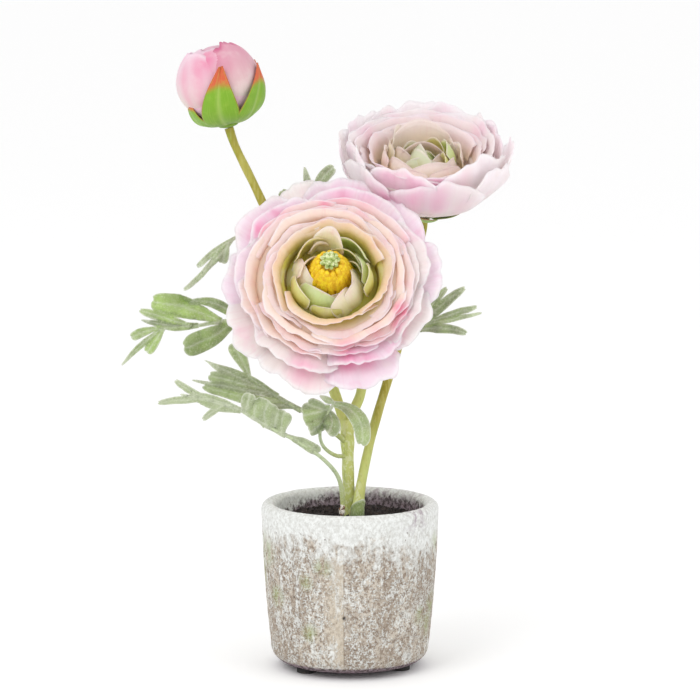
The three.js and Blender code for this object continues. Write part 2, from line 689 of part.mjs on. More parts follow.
function stamens() {
  const dome = toSolid(turned([
    [0, STAMEN_BASE], [8.2, STAMEN_BASE], [8.8, STAMEN_BASE + 5], [7.4, STAMEN_BASE + 10.5],
    [4.2, STAMEN_BASE + DOME_TOP], [0, STAMEN_BASE + DOME_TOP],
  ], 12));
  const clubs = STAMEN_ROWS.flatMap((row, k) => Array.from(
    { length: row.count },
    (_, i) => club(row, ((i + 0.37 * k) / row.count) * TAU),
  ));
  return fuse([dome, ...clubs]);
}

addPiece('front_stamens', largestBody(stamens(), FRONT_PLACE), 0xd7aa12, 0.7);

// Pistil: a knobbly green button on the dome
const PISTIL_RADIUS = 3.4;

function pistil() {
  const base = STAMEN_BASE + DOME_TOP + GAP;
  const button = toSolid(turned([
    [0, base], [PISTIL_RADIUS * 0.8, base], [PISTIL_RADIUS, base + 2],
    [PISTIL_RADIUS * 0.7, base + 4], [0, base + 4.6],
  ], 10));
  const knobs = [];
  for (const [count, radius, height] of [[7, 2.8, 2.6], [4, 1.4, 4.1]]) {
    for (let i = 0; i < count; i += 1) {
      const turn = (i / count) * TAU;
      const knob = new THREE.OctahedronGeometry(1.05, 0);
      knobs.push(toSolid(knob.translate(radius * Math.cos(turn), radius * Math.sin(turn), base + height)));
    }
  }
  return fuse([button, ...knobs]);
}

addPiece('front_pistil', largestBody(pistil(), FRONT_PLACE), 0xb4bd74, 0.7);

// Sepals: a small cap on the stem's end and five green blades under the petals
function sepalSolid({ profile, spread, count, start }) {
  const cap = toSolid(turned([
    [0, -GAP - SEPAL_CAP], [3.2, -GAP - SEPAL_CAP], [6.2, -GAP - 0.8], [6.2, -GAP], [0, -GAP],
  ], 10));
  const ring = { spread, lap: 0, wave: 0, phase: 0, profile };
  const sheets = Array.from({ length: count }, (_, i) => {
    const middle = degrees(start) + (i / count) * TAU;
    const sheet = ringPetal(ring, 0, 1);
    return blade(gridPattern(2, 2), (u, v) => {
      const narrow = 0.3 + 0.7 * Math.sin(Math.PI * Math.min(0.92, 0.15 + 0.8 * v));
      return sheet(u * narrow, v).applyAxisAngle(new THREE.Vector3(0, 0, 1), middle);
    }, LEAF);
  });
  return fuse([cap, ...sheets]);
}

const FRONT_SEPALS = {
  count: 5, start: 20, spread: 62, profile: [[4, -1.6], [11, -2], [17, -0.6], [21, 0.4]],
};
addPiece('front_sepals', largestBody(sepalSolid(FRONT_SEPALS), FRONT_PLACE), 0x86a83c, 0.75);

// Right flower: a cup of five layers round a closed heart

const SIDE_RIM = SIDE_FLOWER / 2;
const SIDE_FLOOR = 21;
const SIDE_BOWL = 24;
const SIDE_CREST = 26;

function sideRings() {
  const rings = [{
    count: 5,
    start: -20,
    spread: 92,
    columns: 5,
    rows: 3,
    from: 0.06,
    lap: 1.1,
    wave: 0.7,
    phase: 2.2,
    profile: [[5, 2.2], [34, 3.5], [40, 22], [SIDE_RIM + 0.6, 38]],
  }];
  const layers = 3;
  for (let i = 0; i < layers; i += 1) {
    const radius = THREE.MathUtils.lerp(35.6, SIDE_BOWL + 2.2, i / (layers - 1));
    rings.push({
      count: 4,
      start: 20 + 52 * i,
      spread: 114,
      columns: 5,
      rows: 2,
      from: 0,
      lap: 0.85,
      wave: 0.45,
      phase: 2.6 + 0.3 * i,
      profile: [[radius - 0.8, SIDE_CREST - 2], [radius + 1, 30], [radius + 3, 36], [radius + 3.2, 44 - 1.6 * i]],
    });
  }
  return rings;
}

function sidePetals() {
  const random = seeded(47);
  const core = toSolid(turned([
    [0, 0], [9, 0], [17, 5], [33, 18], [37, SIDE_CREST - 0.5],
    [SIDE_BOWL, SIDE_CREST], [SIDE_BOWL, SIDE_FLOOR], [0, SIDE_FLOOR],
  ], 16));
  return fuse([core, ...sideRings().flatMap((ring) => petalRing(ring, random))]);
}

addPiece('side_petals', largestBody(sidePetals(), SIDE_PLACE), 0xe6c9d2, 0.75);

const SIDE_HEART = [
  { angle: 150, distance: 15, length: 17, width: 15, lean: 4, cup: -30, turn: 0 },
  { angle: 95, distance: 9, length: 15, width: 14, lean: 2, cup: -40, turn: 0 },
  { angle: 200, distance: 9, length: 15, width: 15, lean: 2, cup: -45, turn: 10 },
  { angle: 265, distance: 8, length: 15, width: 15, lean: 4, cup: -50, turn: -10 },
  { angle: 330, distance: 10, length: 15, width: 14, lean: 4, cup: -40, turn: 10 },
  { angle: 20, distance: 15, length: 16, width: 17, lean: 4, cup: -35, turn: 0 },
  { angle: 60, distance: 14, length: 14, width: 14, lean: 6, cup: -35, turn: 0 },
  { angle: 235, distance: 16, length: 12, width: 14, lean: 8, cup: -40, turn: 0 },
  { angle: 300, distance: 16, length: 12, width: 14, lean: 8, cup: -40, turn: 0 },
];
const sideHeart = heartSolid(SIDE_HEART, SIDE_FLOOR, SIDE_BOWL - 1, 0);
addPiece('side_heart', largestBody(sideHeart, SIDE_PLACE), 0xc3bb9c, 0.75);

const SIDE_SEPALS = {
  count: 5, start: -20, spread: 70, profile: [[4, -1.6], [11, -1.8], [17, 0.5], [21, 2.2]],
};
addPiece('side_sepals', largestBody(sepalSolid(SIDE_SEPALS), SIDE_PLACE), 0x7c9a38, 0.75);

// Bud: an egg of wrapped petals, held by five sepals

const BUD_HEIGHT = 38;

// The egg's outline, or one that lies outside it by 'grow' and starts 'sunk' inside it
function budProfile(grow, sunk = 0) {
  return [
    [3, 0.6 - 0.5 * grow + sunk],
    [BUD_RADIUS * 1.35 + grow * 1.3, -grow],
    [BUD_RADIUS * 1.15 + grow, BUD_HEIGHT * 0.86],
    [1.5, BUD_HEIGHT + grow],
  ];
}

function budSolid() {
  const steps = 8;
  const egg = Array.from({ length: steps }, (_, i) => {
    const point = profileAt(budProfile(0), i / (steps - 1));
    return [point.radius, point.height];
  });
  const core = toSolid(turned([[0, 0.6], ...egg, [0, BUD_HEIGHT]], 15));
  const random = seeded(5);
  const wraps = [
    { start: 175, spread: 120, grow: 2.3, reach: 0.88 },
    { start: -40, spread: 115, grow: 2.3, reach: 0.93 },
    { start: 70, spread: 120, grow: 2.3, reach: 0.9 },
  ].map(({ start, spread, grow, reach }) => blade(
    gridPattern(5, 4, 0.1),
    ringPetal({
      spread, lap: 0.45, wave: 0.12, phase: random() * TAU, profile: budProfile(grow, 5),
    }, degrees(start), reach),
    PETAL,
  ));
  return fuse([core, ...wraps]);
}

addPiece('bud_petals', largestBody(budSolid(), BUD_PLACE), 0xe6b3c6, 0.7);

function budSepals() {
  const cap = toSolid(turned([
    [0, -GAP - SEPAL_CAP], [2.4, -GAP - SEPAL_CAP], [5.5, -GAP - 1.6], [5.5, -GAP - 0.5], [0, -GAP - 0.5],
  ], 12));
  const sheets = [
    { turn: -95, reach: 0.66, spread: 78 },
    { turn: -12, reach: 0.68, spread: 78 },
    { turn: 58, reach: 0.62, spread: 72 },
    { turn: 130, reach: 0.62, spread: 72 },
    { turn: 202, reach: 0.42, spread: 66 },
  ].map(({ turn, reach, spread }) => {
    const sheet = ringPetal({ spread, lap: 0, wave: 0, phase: 0, profile: budProfile(5.6) }, 0, reach);
    return blade(gridPattern(3, 3), (u, v) => {
      const narrow = Math.max(0.12, 1 - (Math.max(0, v - 0.3) / 0.7) ** 1.8);
      return sheet(u * narrow, v).applyAxisAngle(new THREE.Vector3(0, 0, 1), degrees(turn));
    }, LEAF);
  });
  return fuse([cap, ...sheets]);
}

addPiece('bud_sepals', largestBody(budSepals(), BUD_PLACE), 0x80ab2c, 0.7);

// The origin is under the middle of the whole plant, on the surface that the feet stand on
const box = new THREE.Box3().setFromObject(group);
const centred = (low, high) => -Math.round((low + high) / 2 / GRID) * GRID;
group.position.set(centred(box.min.x, box.max.x), centred(box.min.y, box.max.y), 0);

export default group;
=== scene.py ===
import math
import random

import bpy
import numpy as np
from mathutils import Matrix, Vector, geometry, noise


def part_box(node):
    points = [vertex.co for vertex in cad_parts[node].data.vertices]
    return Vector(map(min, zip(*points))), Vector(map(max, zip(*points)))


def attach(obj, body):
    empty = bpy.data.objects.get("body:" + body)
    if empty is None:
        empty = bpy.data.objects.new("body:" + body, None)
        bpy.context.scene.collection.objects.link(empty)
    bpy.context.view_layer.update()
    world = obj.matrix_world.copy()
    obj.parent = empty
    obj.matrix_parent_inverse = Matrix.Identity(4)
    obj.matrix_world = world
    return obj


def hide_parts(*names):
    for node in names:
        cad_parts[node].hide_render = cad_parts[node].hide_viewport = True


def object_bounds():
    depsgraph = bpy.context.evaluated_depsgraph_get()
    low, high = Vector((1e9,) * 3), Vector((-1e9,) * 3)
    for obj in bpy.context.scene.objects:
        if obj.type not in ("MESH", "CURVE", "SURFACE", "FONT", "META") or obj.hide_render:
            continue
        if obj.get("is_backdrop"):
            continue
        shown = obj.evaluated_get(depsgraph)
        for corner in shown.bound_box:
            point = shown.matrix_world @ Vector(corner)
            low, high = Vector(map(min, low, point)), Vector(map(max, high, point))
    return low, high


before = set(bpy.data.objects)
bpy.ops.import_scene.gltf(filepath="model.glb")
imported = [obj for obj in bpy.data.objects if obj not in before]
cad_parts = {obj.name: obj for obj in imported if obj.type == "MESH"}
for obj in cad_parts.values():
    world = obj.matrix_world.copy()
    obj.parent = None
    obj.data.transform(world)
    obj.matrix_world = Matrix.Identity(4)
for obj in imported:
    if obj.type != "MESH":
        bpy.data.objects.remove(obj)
cad_low, cad_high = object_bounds()

# Camera
# It stands in front of the plant and looks slightly down, as the photograph does, from far enough
# away that the pot hardly tapers. Places are in millimetres from the pot's axis on the ground.
MM = 0.001
pot_low, pot_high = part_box("pot")
POT_AXIS = np.array([(pot_low.x + pot_high.x) / 2, (pot_low.y + pot_high.y) / 2, 0.0])
CAMERA_HEIGHT = 160.7
CAMERA_DISTANCE = 1800
CAMERA_TILT = math.radians(8.2)
CAMERA_LENS = 185.1


def in_place(points):
    """Millimetres from the pot's axis to metres in the frame of the part."""
    return np.asarray(points, float) * MM + POT_AXIS


camera_data = bpy.data.cameras.new("camera")
camera_data.lens = CAMERA_LENS
camera_data.sensor_width = 36
camera_data.clip_end = 100
camera = bpy.data.objects.new("camera", camera_data)
bpy.context.collection.objects.link(camera)
camera_back = Vector((0, -math.cos(CAMERA_TILT), math.sin(CAMERA_TILT)))
camera.location = Vector(in_place([0, 0, CAMERA_HEIGHT])) + camera_back * CAMERA_DISTANCE * MM
camera.rotation_euler = (-camera_back).to_track_quat("-Z", "Y").to_euler()
bpy.context.scene.camera = camera

# Floor and light
# A white studio table that runs on behind the plant, lit by an even white room, a large soft
# panel from the upper left and a weaker one from the right.


def colour(red, green, blue):
    """A screen colour from 0 to 255 as the linear colour that a shader takes."""
    parts = [c / 255 for c in (red, green, blue)]
    return [c / 12.92 if c <= 0.04045 else ((c + 0.055) / 1.055) ** 2.4 for c in parts] + [1.0]


def new_material(name):
    """A material with its node tree and its surface shader."""
    material = bpy.data.materials.new(name)
    material.use_nodes = True
    return material, material.node_tree, material.node_tree.nodes["Principled BSDF"]


floor_material, _, shader = new_material("studio_white")
shader.inputs["Base Color"].default_value = colour(253, 253, 253)
shader.inputs["Roughness"].default_value = 0.9
FLOOR_HALF = 30
floor_mesh = bpy.data.meshes.new("studio_floor")
floor_mesh.from_pydata(
    [(-FLOOR_HALF, -FLOOR_HALF, 0), (FLOOR_HALF, -FLOOR_HALF, 0),
     (FLOOR_HALF, FLOOR_HALF, 0), (-FLOOR_HALF, FLOOR_HALF, 0)], [], [(0, 1, 2, 3)])
floor = bpy.data.objects.new("studio_floor", floor_mesh)
floor.data.materials.append(floor_material)
bpy.context.collection.objects.link(floor)
floor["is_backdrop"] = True

world = bpy.data.worlds.new("studio_room")
world.use_nodes = True
world.node_tree.nodes["Background"].inputs["Color"].default_value = (1.0, 1.0, 1.0, 1.0)
world.node_tree.nodes["Background"].inputs["Strength"].default_value = 1.0
bpy.context.scene.world = world
bpy.context.scene.view_settings.view_transform = "Standard"

for name, place, size, power in (
    ("soft_panel_left", (-700, -900, 1100), 0.8, 5.5),
    ("soft_panel_right", (900, -700, 700), 0.8, 1.6),
):
    panel = bpy.data.lights.new(name, "AREA")
    panel.size = size
    panel.energy = power
    lamp = bpy.data.objects.new(name, panel)
    lamp.location = in_place(place)
    aim = Vector(in_place([0, 0, 150])) - lamp.location
    lamp.rotation_euler = aim.to_track_quat("-Z", "Y").to_euler()
    bpy.context.collection.objects.link(lamp)

# Pot
# One cast cement pot, 89 mm across its rim, with a thick wall, a rounded lip and a rounded foot.
# Its skin is worn: chalky white at the rim, and taupe with white pits, streaks and moss below.
POT_RIM = 44.6
POT_FOOT = 39.8
POT_TOP = 84.0
POT_BOTTOM = 2.8
POT_WALL = 7.2
POT_EDGE = 8.5
POT_SIDES = 300
POT_SIDE_ROWS = 96


def arc(centre_radius, centre_height, radius, start, end, steps):
    """Points of a round corner, as radius and height."""
    turns = np.radians(np.linspace(start, end, steps + 1))
    return [(centre_radius + radius * math.cos(t), centre_height + radius * math.sin(t)) for t in turns]


def revolve(profile, sides):
    """Points and faces of a body turned round the Z axis. Its profile starts and ends on the axis."""
    turns = np.linspace(0, 2 * math.pi, sides, endpoint=False)
    points = [(0.0, 0.0, profile[0][1])]
    for radius, height in profile[1:-1]:
        points += [(radius * math.cos(t), radius * math.sin(t), height) for t in turns]
    points.append((0.0, 0.0, profile[-1][1]))
    faces = []
    for k in range(sides):
        faces.append((0, 1 + (k + 1) % sides, 1 + k))
    for ring in range(len(profile) - 3):
        low, high = 1 + ring * sides, 1 + (ring + 1) * sides
        for k in range(sides):
            after = (k + 1) % sides
            faces.append((low + k, low + after, high + after, high + k))
    low = 1 + (len(profile) - 3) * sides
    for k in range(sides):
        faces.append((low + k, low + (k + 1) % sides, len(points) - 1))
    return np.array(points), faces


def new_piece(name, points, faces, material, values=None):
    """A mesh object at the origin, with its place in its mesh. Its values are kept at its points."""
    mesh = bpy.data.meshes.new(name)
    mesh.from_pydata(np.asarray(points, float).tolist(), [], [list(map(int, face)) for face in faces])
    mesh.polygons.foreach_set("use_smooth", [True] * len(mesh.polygons))
    mesh.materials.append(material)
    for label, value in (values or {}).items():
        if label == "uv":
            corners = np.empty(len(mesh.loops), int)
            mesh.loops.foreach_get("vertex_index", corners)
            mesh.uv_layers.new(name="uv").data.foreach_set("uv", np.asarray(value)[corners].ravel())
        elif np.ndim(value) == 1:
            mesh.attributes.new(label, "FLOAT", "POINT").data.foreach_set("value", value)
        else:
            mesh.attributes.new(label, "FLOAT_COLOR", "POINT").data.foreach_set("color", np.ravel(value))
    mesh.update()
    piece = bpy.data.objects.new(name, mesh)
    bpy.context.collection.objects.link(piece)
    return piece


def on_part(piece, slot, *nodes):
    """The piece moves with the part and stands for these nodes, which are hidden. The slot is not used."""
    if nodes:
        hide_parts(*nodes)
    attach(piece, "root")


def add_node(tree, kind, inputs=None, **settings):
    """One node with its settings. An input takes a value, or is wired to a socket or to a node."""
    made = tree.nodes.new(kind)
    for name, value in settings.items():
        setattr(made, name, value)
    for name, value in (inputs or {}).items():
        if isinstance(value, bpy.types.Node):
            value = value.outputs[0]
        if isinstance(value, bpy.types.NodeSocket):
            tree.links.new(value, made.inputs[name])
        else:
            made.inputs[name].default_value = value
    return made


class Skin:
    """A material whose pattern is made of nodes over the piece's own coordinates."""

    def __init__(self, name):
        self.material, self.tree, self.shader = new_material(name)
        self.spot = add_node(self.tree, "ShaderNodeTexCoord").outputs["Object"]

    def kept_tint(self):
        """The colour that is kept at the mesh's points."""
        return add_node(self.tree, "ShaderNodeVertexColor", layer_name="tint").outputs["Color"]

    def vector(self, kind, first, second=(0, 0, 0)):
        """One sum on vectors."""
        return add_node(self.tree, "ShaderNodeVectorMath", {0: first, 1: second}, operation=kind).outputs

    def places(self):
        """Each point's place from the pot's axis on the ground, as a vector and as X, Y and Z."""
        place = self.vector("SUBTRACT", self.spot, list(in_place([0, 0, 0])))["Vector"]
        return place, *add_node(self.tree, "ShaderNodeSeparateXYZ", {"Vector": place}).outputs

    def noise(self, scale, detail=4.0, rough=0.55, distortion=0.0, stretch=None):
        """A cloudy pattern from 0 to 1, stretched along the axes if asked."""
        vector = self.stretched(self.spot, stretch) if stretch else self.spot
        return add_node(self.tree, "ShaderNodeTexNoise", {
            "Vector": vector, "Scale": scale, "Detail": detail, "Roughness": rough,
            "Distortion": distortion}).outputs["Fac"]

    def stretched(self, vector, scale):
        """Coordinates stretched along their axes."""
        mapped = add_node(self.tree, "ShaderNodeMapping", {"Vector": vector, "Scale": scale})
        return mapped.outputs["Vector"]

    def step(self, value, low, high, start=0.0, end=1.0):
        """How far a value has gone from low to high, as a smooth step from start to end."""
        return add_node(self.tree, "ShaderNodeMapRange", {
            "Value": value, "From Min": low, "From Max": high, "To Min": start, "To Max": end},
            interpolation_type="SMOOTHSTEP").outputs["Result"]

    def joined(self, kind, *values):
        """Values or sockets taken together, one after the other, by one kind of sum."""
        total = values[0]
        for value in values[1:]:
            total = add_node(self.tree, "ShaderNodeMath", {0: total, 1: value}, operation=kind).outputs[0]
        return total

    def times(self, *values):
        """The product of values or sockets."""
        return self.joined("MULTIPLY", *values)

    def weighed(self, *parts):
        """The sum of sockets, each with its weight."""
        return self.joined("ADD", *[self.times(value, weight) for value, weight in parts])

    def near(self, *spots):
        """Soft spots round places in millimetres: 1 in the middle of each and 0 past its size."""
        found = 0.0
        for place, size in spots:
            away = self.vector("DISTANCE", self.spot, list(in_place(place)))["Value"]
            found = self.joined("MAXIMUM", self.step(away, size * MM, 0.0), found)
        return found

    def mixed(self, amount, first, second, kind="MIX"):
        """Two colours mixed by an amount."""
        return add_node(self.tree, "ShaderNodeMix", {0: amount, 6: first, 7: second},
                        data_type="RGBA", blend_type=kind).outputs[2]

    def painted(self, base, *coats):
        """The base under coats of colour, each as strong as the product of its amounts."""
        for shade, *amounts in coats:
            base = self.mixed(self.times(*amounts), base, colour(*shade))
        return base

    def covered(self, tint, rough, relief=None, strength=0.0, depth=0.0, **more):
        """The material with this colour, roughness and relief, and other values of its shader."""
        self.tree.links.new(tint, self.shader.inputs["Base Color"])
        self.shader.inputs["Roughness"].default_value = rough
        for name, value in more.items():
            self.shader.inputs[name.replace("_", " ")].default_value = value
        if relief is not None:
            bump = add_node(self.tree, "ShaderNodeBump", {
                "Strength": strength, "Distance": depth, "Height": relief})
            self.tree.links.new(bump.outputs["Normal"], self.shader.inputs["Normal"])
        return self.material


lip_centre = POT_RIM - POT_WALL / 2
lip_height = POT_TOP - POT_WALL / 2
inner_foot = POT_FOOT - POT_WALL
pot_floor = POT_BOTTOM + POT_WALL
outer_side = [
    (POT_FOOT + (POT_RIM - POT_FOOT) * s + 0.8 * math.sin(math.pi * s),
     POT_BOTTOM + POT_EDGE + (lip_height - POT_BOTTOM - POT_EDGE) * s)
    for s in np.linspace(0, 1, POT_SIDE_ROWS + 1)]
inner_side = [
    (POT_RIM - POT_WALL + (inner_foot - POT_RIM + POT_WALL) * s,
     lip_height + (pot_floor + POT_EDGE - lip_height) * s)
    for s in np.linspace(0, 1, 40)]
pot_profile = (
    [(0, POT_BOTTOM)] + [(r, POT_BOTTOM) for r in np.linspace(8, POT_FOOT - POT_EDGE - 1, 8)]
    + arc(POT_FOOT - POT_EDGE, POT_BOTTOM + POT_EDGE, POT_EDGE, -90, 0, 16)[:-1] + outer_side[:-1]
    + arc(lip_centre, lip_height, POT_WALL / 2, 0, 180, 18)[:-1] + inner_side
    + [(0, pot_floor)])
pot_points, pot_faces = revolve(pot_profile, POT_SIDES)


def cement_relief(point):
    """How far the skin stands out or is pitted at one point of the pot, in millimetres."""
    x, y, z = point
    spot = Vector((x * 0.11, y * 0.11, z * 0.07))
    lumps = noise.fractal(spot, 1.0, 2.0, 4, noise_basis="PERLIN_ORIGINAL")
    grain = noise.noise(Vector((x, y, z * 0.7)) * 0.75)
    worn = min(1.0, max(0.0, (72.0 - z + 5 * lumps) / 12.0))
    pits = min(0.0, noise.noise(Vector((x * 0.42, y * 0.42, z * 0.34)) + Vector((7, 3, 1))) + 0.22)
    return 0.16 * lumps + worn * (0.13 * grain + 0.95 * pits) + (1 - worn) * 0.05 * grain


away = pot_points.copy()
away[:, 2] = 0
flat = np.linalg.norm(away, axis=1, keepdims=True)
outward = away / np.maximum(flat, 1e-6)
inside = (flat[:, 0] < POT_RIM - POT_WALL + 0.4) & (pot_points[:, 2] > pot_floor)
outward[inside] *= -1
rise = np.clip((pot_points[:, 2] - lip_height) / (POT_WALL / 2), 0, 1)
outward[:, 2] = rise
outward[:, :2] *= (1 - 0.8 * rise)[:, None]
relief = np.array([cement_relief(p) for p in pot_points])
relief[flat[:, 0] < POT_FOOT - POT_EDGE - 2] = 0
pot_points = pot_points + outward * relief[:, None]

skin = Skin("weathered_cement")
place, across, inwards, height = skin.places()
clouds = skin.noise(62, 5, 0.6, stretch=(1, 1, 0.35))
broad = skin.noise(24, 4, 0.6, stretch=(1, 1, 0.35))
speckle = skin.noise(640, 3, 0.75, stretch=(1, 1, 0.75))
blotch = skin.noise(210, 6, 0.7, 0.6, (1, 1, 0.6))
fine = skin.noise(1150, 2, 0.6)
runs = skin.noise(130, 5, 0.7, 0.4, (1, 1, 0.16))
pinhole_shade = skin.noise(330, 2, 0.5)
front = skin.times(skin.step(inwards, -0.02, -0.03), skin.step(height, 0.069, 0.060),
                   skin.step(height, 0.004, 0.012))
from_seam = skin.weighed((across, 1), (broad, 0.0012))
strip = skin.times(front, skin.step(from_seam, -0.0135, -0.0065), skin.step(from_seam, -0.0023, -0.0026))
seam = skin.times(front, skin.step(from_seam, -0.0027, -0.0024), skin.step(from_seam, -0.0018, -0.0022),
                  skin.step(blotch, 0.62, 0.4))
chalk = skin.joined(
    "MAXIMUM", skin.step(skin.weighed((height, 1), (blotch, 0.075), (broad, 0.04)), 0.114, 0.131),
    skin.step(skin.weighed((blotch, 0.5), (fine, 0.5), (strip, -0.04)), 0.5, 0.555),
    skin.times(skin.step(runs, 0.55, 0.64), skin.step(speckle, 0.4, 0.5)))
# Of each patch of moss and stain, and of the painted shade of one hole: its place and its size in
# millimetres.
MOSS = (((-41, -14, 62), 13), ((-43, -6, 50), 10), ((-37, -22, 40), 9), ((-22, -37, 50), 6),
        ((41, -12, 34), 9), ((40, -16, 24), 10), ((42, -12, 66), 8), ((36, -24, 30), 7),
        ((-20, -36, 24), 7), ((20, 38, 48), 12), ((-30, 30, 30), 12), ((-14, -42, 58), 7),
        ((38, 18, 20), 10))
STAINS = (((32, -27, 83), 15), ((16, 34, 78), 17), ((-8, 37, 79), 10), ((33, 18, 77), 12),
          ((26, 27, 76), 12))
HOLE_SHADE = ((-3, -42, 32.8), 1.5)
taupe = skin.mixed(skin.step(clouds, 0.35, 0.65), colour(166, 154, 140), colour(204, 195, 182))
taupe = skin.painted(
    taupe, ((138, 123, 109), skin.step(speckle, 0.6, 0.38)), ((204, 193, 175), strip, 0.6))
white = skin.mixed(skin.step(speckle, 0.3, 0.7), colour(205, 206, 202), colour(234, 237, 236))
tint = skin.mixed(skin.times(chalk, skin.step(height, 0.045, 0.072, 0.76, 0.9)), taupe, white)
tint = skin.painted(
    tint,
    ((104, 90, 78), skin.step(fine, 0.38, 0.30), skin.step(height, 0.079, 0.060), 0.6),
    # Painted shade: dark brown spots stand for the shade inside small pinholes.
    ((90, 74, 62), skin.step(pinhole_shade, 0.33, 0.25), skin.step(height, 0.083, 0.070), 0.75),
    ((132, 116, 100), seam, 0.75),
    # Painted shade: a near-black spot stands for the shade inside one hole.
    ((26, 22, 20), skin.near(HOLE_SHADE)),
    ((142, 152, 78), skin.near(*MOSS), skin.step(blotch, 0.38, 0.58), 0.62),
    ((140, 116, 132), skin.near(*STAINS), skin.step(blotch, 0.44, 0.6), 0.75))
from_axis = skin.vector("LENGTH", skin.vector("MULTIPLY", place, (1, 1, 0))["Vector"])["Value"]
inner_wall = skin.step(from_axis, (POT_RIM - POT_WALL + 0.9) * MM, (POT_RIM - POT_WALL) * MM)
# The inner wall is painted much darker from the soil up to an uneven line.
band_line = skin.weighed(
    (height, 1), (blotch, 0.014), (speckle, 0.01), (skin.step(across, -0.008, -0.03), 0.004))
dark_inner_band = skin.mixed(skin.step(speckle, 0.4, 0.6), colour(58, 46, 48), colour(146, 128, 138))
tint = skin.mixed(skin.times(inner_wall, skin.step(band_line, 0.0948, 0.0900), 0.92), tint, dark_inner_band)
cement = skin.covered(
    tint, 0.93, skin.weighed((speckle, 0.7), (chalk, 0.5)), 0.75, 0.0005, Specular_IOR_Level=0.25)

pot = new_piece("cement_pot", in_place(pot_points), pot_faces, cement)
on_part(pot, "cement", "pot")

# Feet
# Three round rubber pads, 10 mm across, glued under the pot's floor.
PAD_RADIUS = 5.0
PAD_HEIGHT = 2.5
PAD_ROUND = 0.45


def two_tone(name, pattern, low, high, dark, light, rough, *relief):
    """A material of two colours that one cloudy pattern parts. The pattern may also roughen it."""
    skin = Skin(name)
    cloud = skin.noise(*pattern)
    tint = skin.mixed(skin.step(cloud, low, high), colour(*dark), colour(*light))
    return skin.covered(tint, rough, cloud if relief else None, *relief)


rubber = two_tone("black_rubber", (900, 3), 0.5, 0.8, (38, 36, 35), (78, 72, 66), 0.75, 0.3, 0.0002)
pad_profile = (
    [(0, 0)] + arc(PAD_RADIUS - PAD_ROUND, PAD_ROUND, PAD_ROUND, -90, 0, 5)
    + arc(PAD_RADIUS - PAD_ROUND, PAD_HEIGHT - PAD_ROUND, PAD_ROUND, 0, 90, 5) + [(0, PAD_HEIGHT)])
points, faces = revolve(pad_profile, 64)
for name in ("foot_left", "foot_right", "foot_back"):
    low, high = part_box(name)
    centre = np.array([(low.x + high.x) / 2, (low.y + high.y) / 2, 0]) - POT_AXIS
    pad = new_piece("rubber_" + name, in_place(points + centre / MM), faces, rubber)
    on_part(pad, "pad_rubber", name)

# Soil
# Dark potting soil that fills the pot to 8.5 mm below its lip. It is one body with a lumpy top,
# and loose crumbs are strewn over it by Geometry Nodes.
SOIL_TOP = POT_TOP - 8.5
SOIL_GAP = 0.3
CRUMBS_PER_SQUARE_METRE = 260000

soil_slope = (POT_RIM - POT_WALL - inner_foot) / (lip_height - pot_floor - POT_EDGE)
soil_radius = inner_foot + soil_slope * (SOIL_TOP - 1 - pot_floor - POT_EDGE) - SOIL_GAP
soil_profile = (
    [(0, pot_floor + SOIL_GAP)]
    + arc(inner_foot - POT_EDGE, pot_floor + POT_EDGE + SOIL_GAP, POT_EDGE - SOIL_GAP, -90, 0, 6)
    + [(soil_radius, SOIL_TOP - 1)]
    + [(soil_radius * r, SOIL_TOP + 1 - 1.6 * r ** 2) for r in np.linspace(0.98, 0.02, 50)]
    + [(0, SOIL_TOP + 1)])
soil_points, soil_faces = revolve(soil_profile, 120)
for point in soil_points:
    if point[2] > SOIL_TOP - 0.8:
        x, y, z = point
        lump = 0.8 * math.sin(0.31 * x + 1) * math.cos(0.37 * y) + 0.6 * math.sin(0.83 * x + 0.71 * y)
        rough = 0.8 * noise.noise(Vector((x, y, 0)) * 0.55) + 0.5 * noise.noise(Vector((x, y, 3)) * 1.3)
        point[2] += (lump + rough) * min(1, (soil_radius - math.hypot(x, y)) / 3)

skin = Skin("dark_earth")
grain = skin.noise(900, 4, 0.7)
patch = skin.noise(120, 4, 0.6)
tint = skin.mixed(skin.step(grain, 0.4, 0.65), colour(26, 22, 22), colour(58, 47, 44))
tint = skin.painted(tint, ((72, 59, 54), skin.step(patch, 0.5, 0.7)))
earth = skin.covered(tint, 0.96, grain, 0.8, 0.0006)


def grown(name, grow, base, sizes, material):
    """A piece that Geometry Nodes make on a base mesh. The tree has a named input for each size, and
    ends in smooth and real faces with their material. The base and the modifier go."""
    tree = bpy.data.node_groups.new(name, "GeometryNodeTree")
    tree.interface.new_socket("Geometry", in_out="INPUT", socket_type="NodeSocketGeometry")
    for label in sizes:
        tree.interface.new_socket(label, in_out="INPUT", socket_type="NodeSocketFloat")
    tree.interface.new_socket("Geometry", in_out="OUTPUT", socket_type="NodeSocketGeometry")
    result = grow(tree, add_node(tree, "NodeGroupInput").outputs)
    smooth = add_node(tree, "GeometryNodeSetShadeSmooth", {"Geometry": result})
    real = add_node(tree, "GeometryNodeRealizeInstances", {"Geometry": smooth})
    done = add_node(tree, "GeometryNodeSetMaterial", {"Geometry": real, "Material": material})
    add_node(tree, "NodeGroupOutput", {"Geometry": done})
    holder = bpy.data.objects.new(name + "_base", base)
    bpy.context.collection.objects.link(holder)
    modifier = holder.modifiers.new("grow", "NODES")
    modifier.node_group = tree
    for item in tree.interface.items_tree:
        if item.in_out == "INPUT" and item.name in sizes:
            modifier[item.identifier] = float(sizes[item.name])
    made = bpy.data.meshes.new_from_object(holder.evaluated_get(bpy.context.evaluated_depsgraph_get()))
    holder.modifiers.remove(modifier)
    bpy.data.objects.remove(holder)
    made.name = name
    made.materials.clear()
    made.materials.append(material)
    piece = bpy.data.objects.new(name, made)
    bpy.context.collection.objects.link(piece)
    return piece


def drawn(tree, low, high, seed=0):
    """A random vector between two others for each point."""
    made = add_node(tree, "FunctionNodeRandomValue", {"Seed": seed}, data_type="FLOAT_VECTOR")
    made.inputs[0].default_value = low
    made.inputs[1].default_value = high
    return made


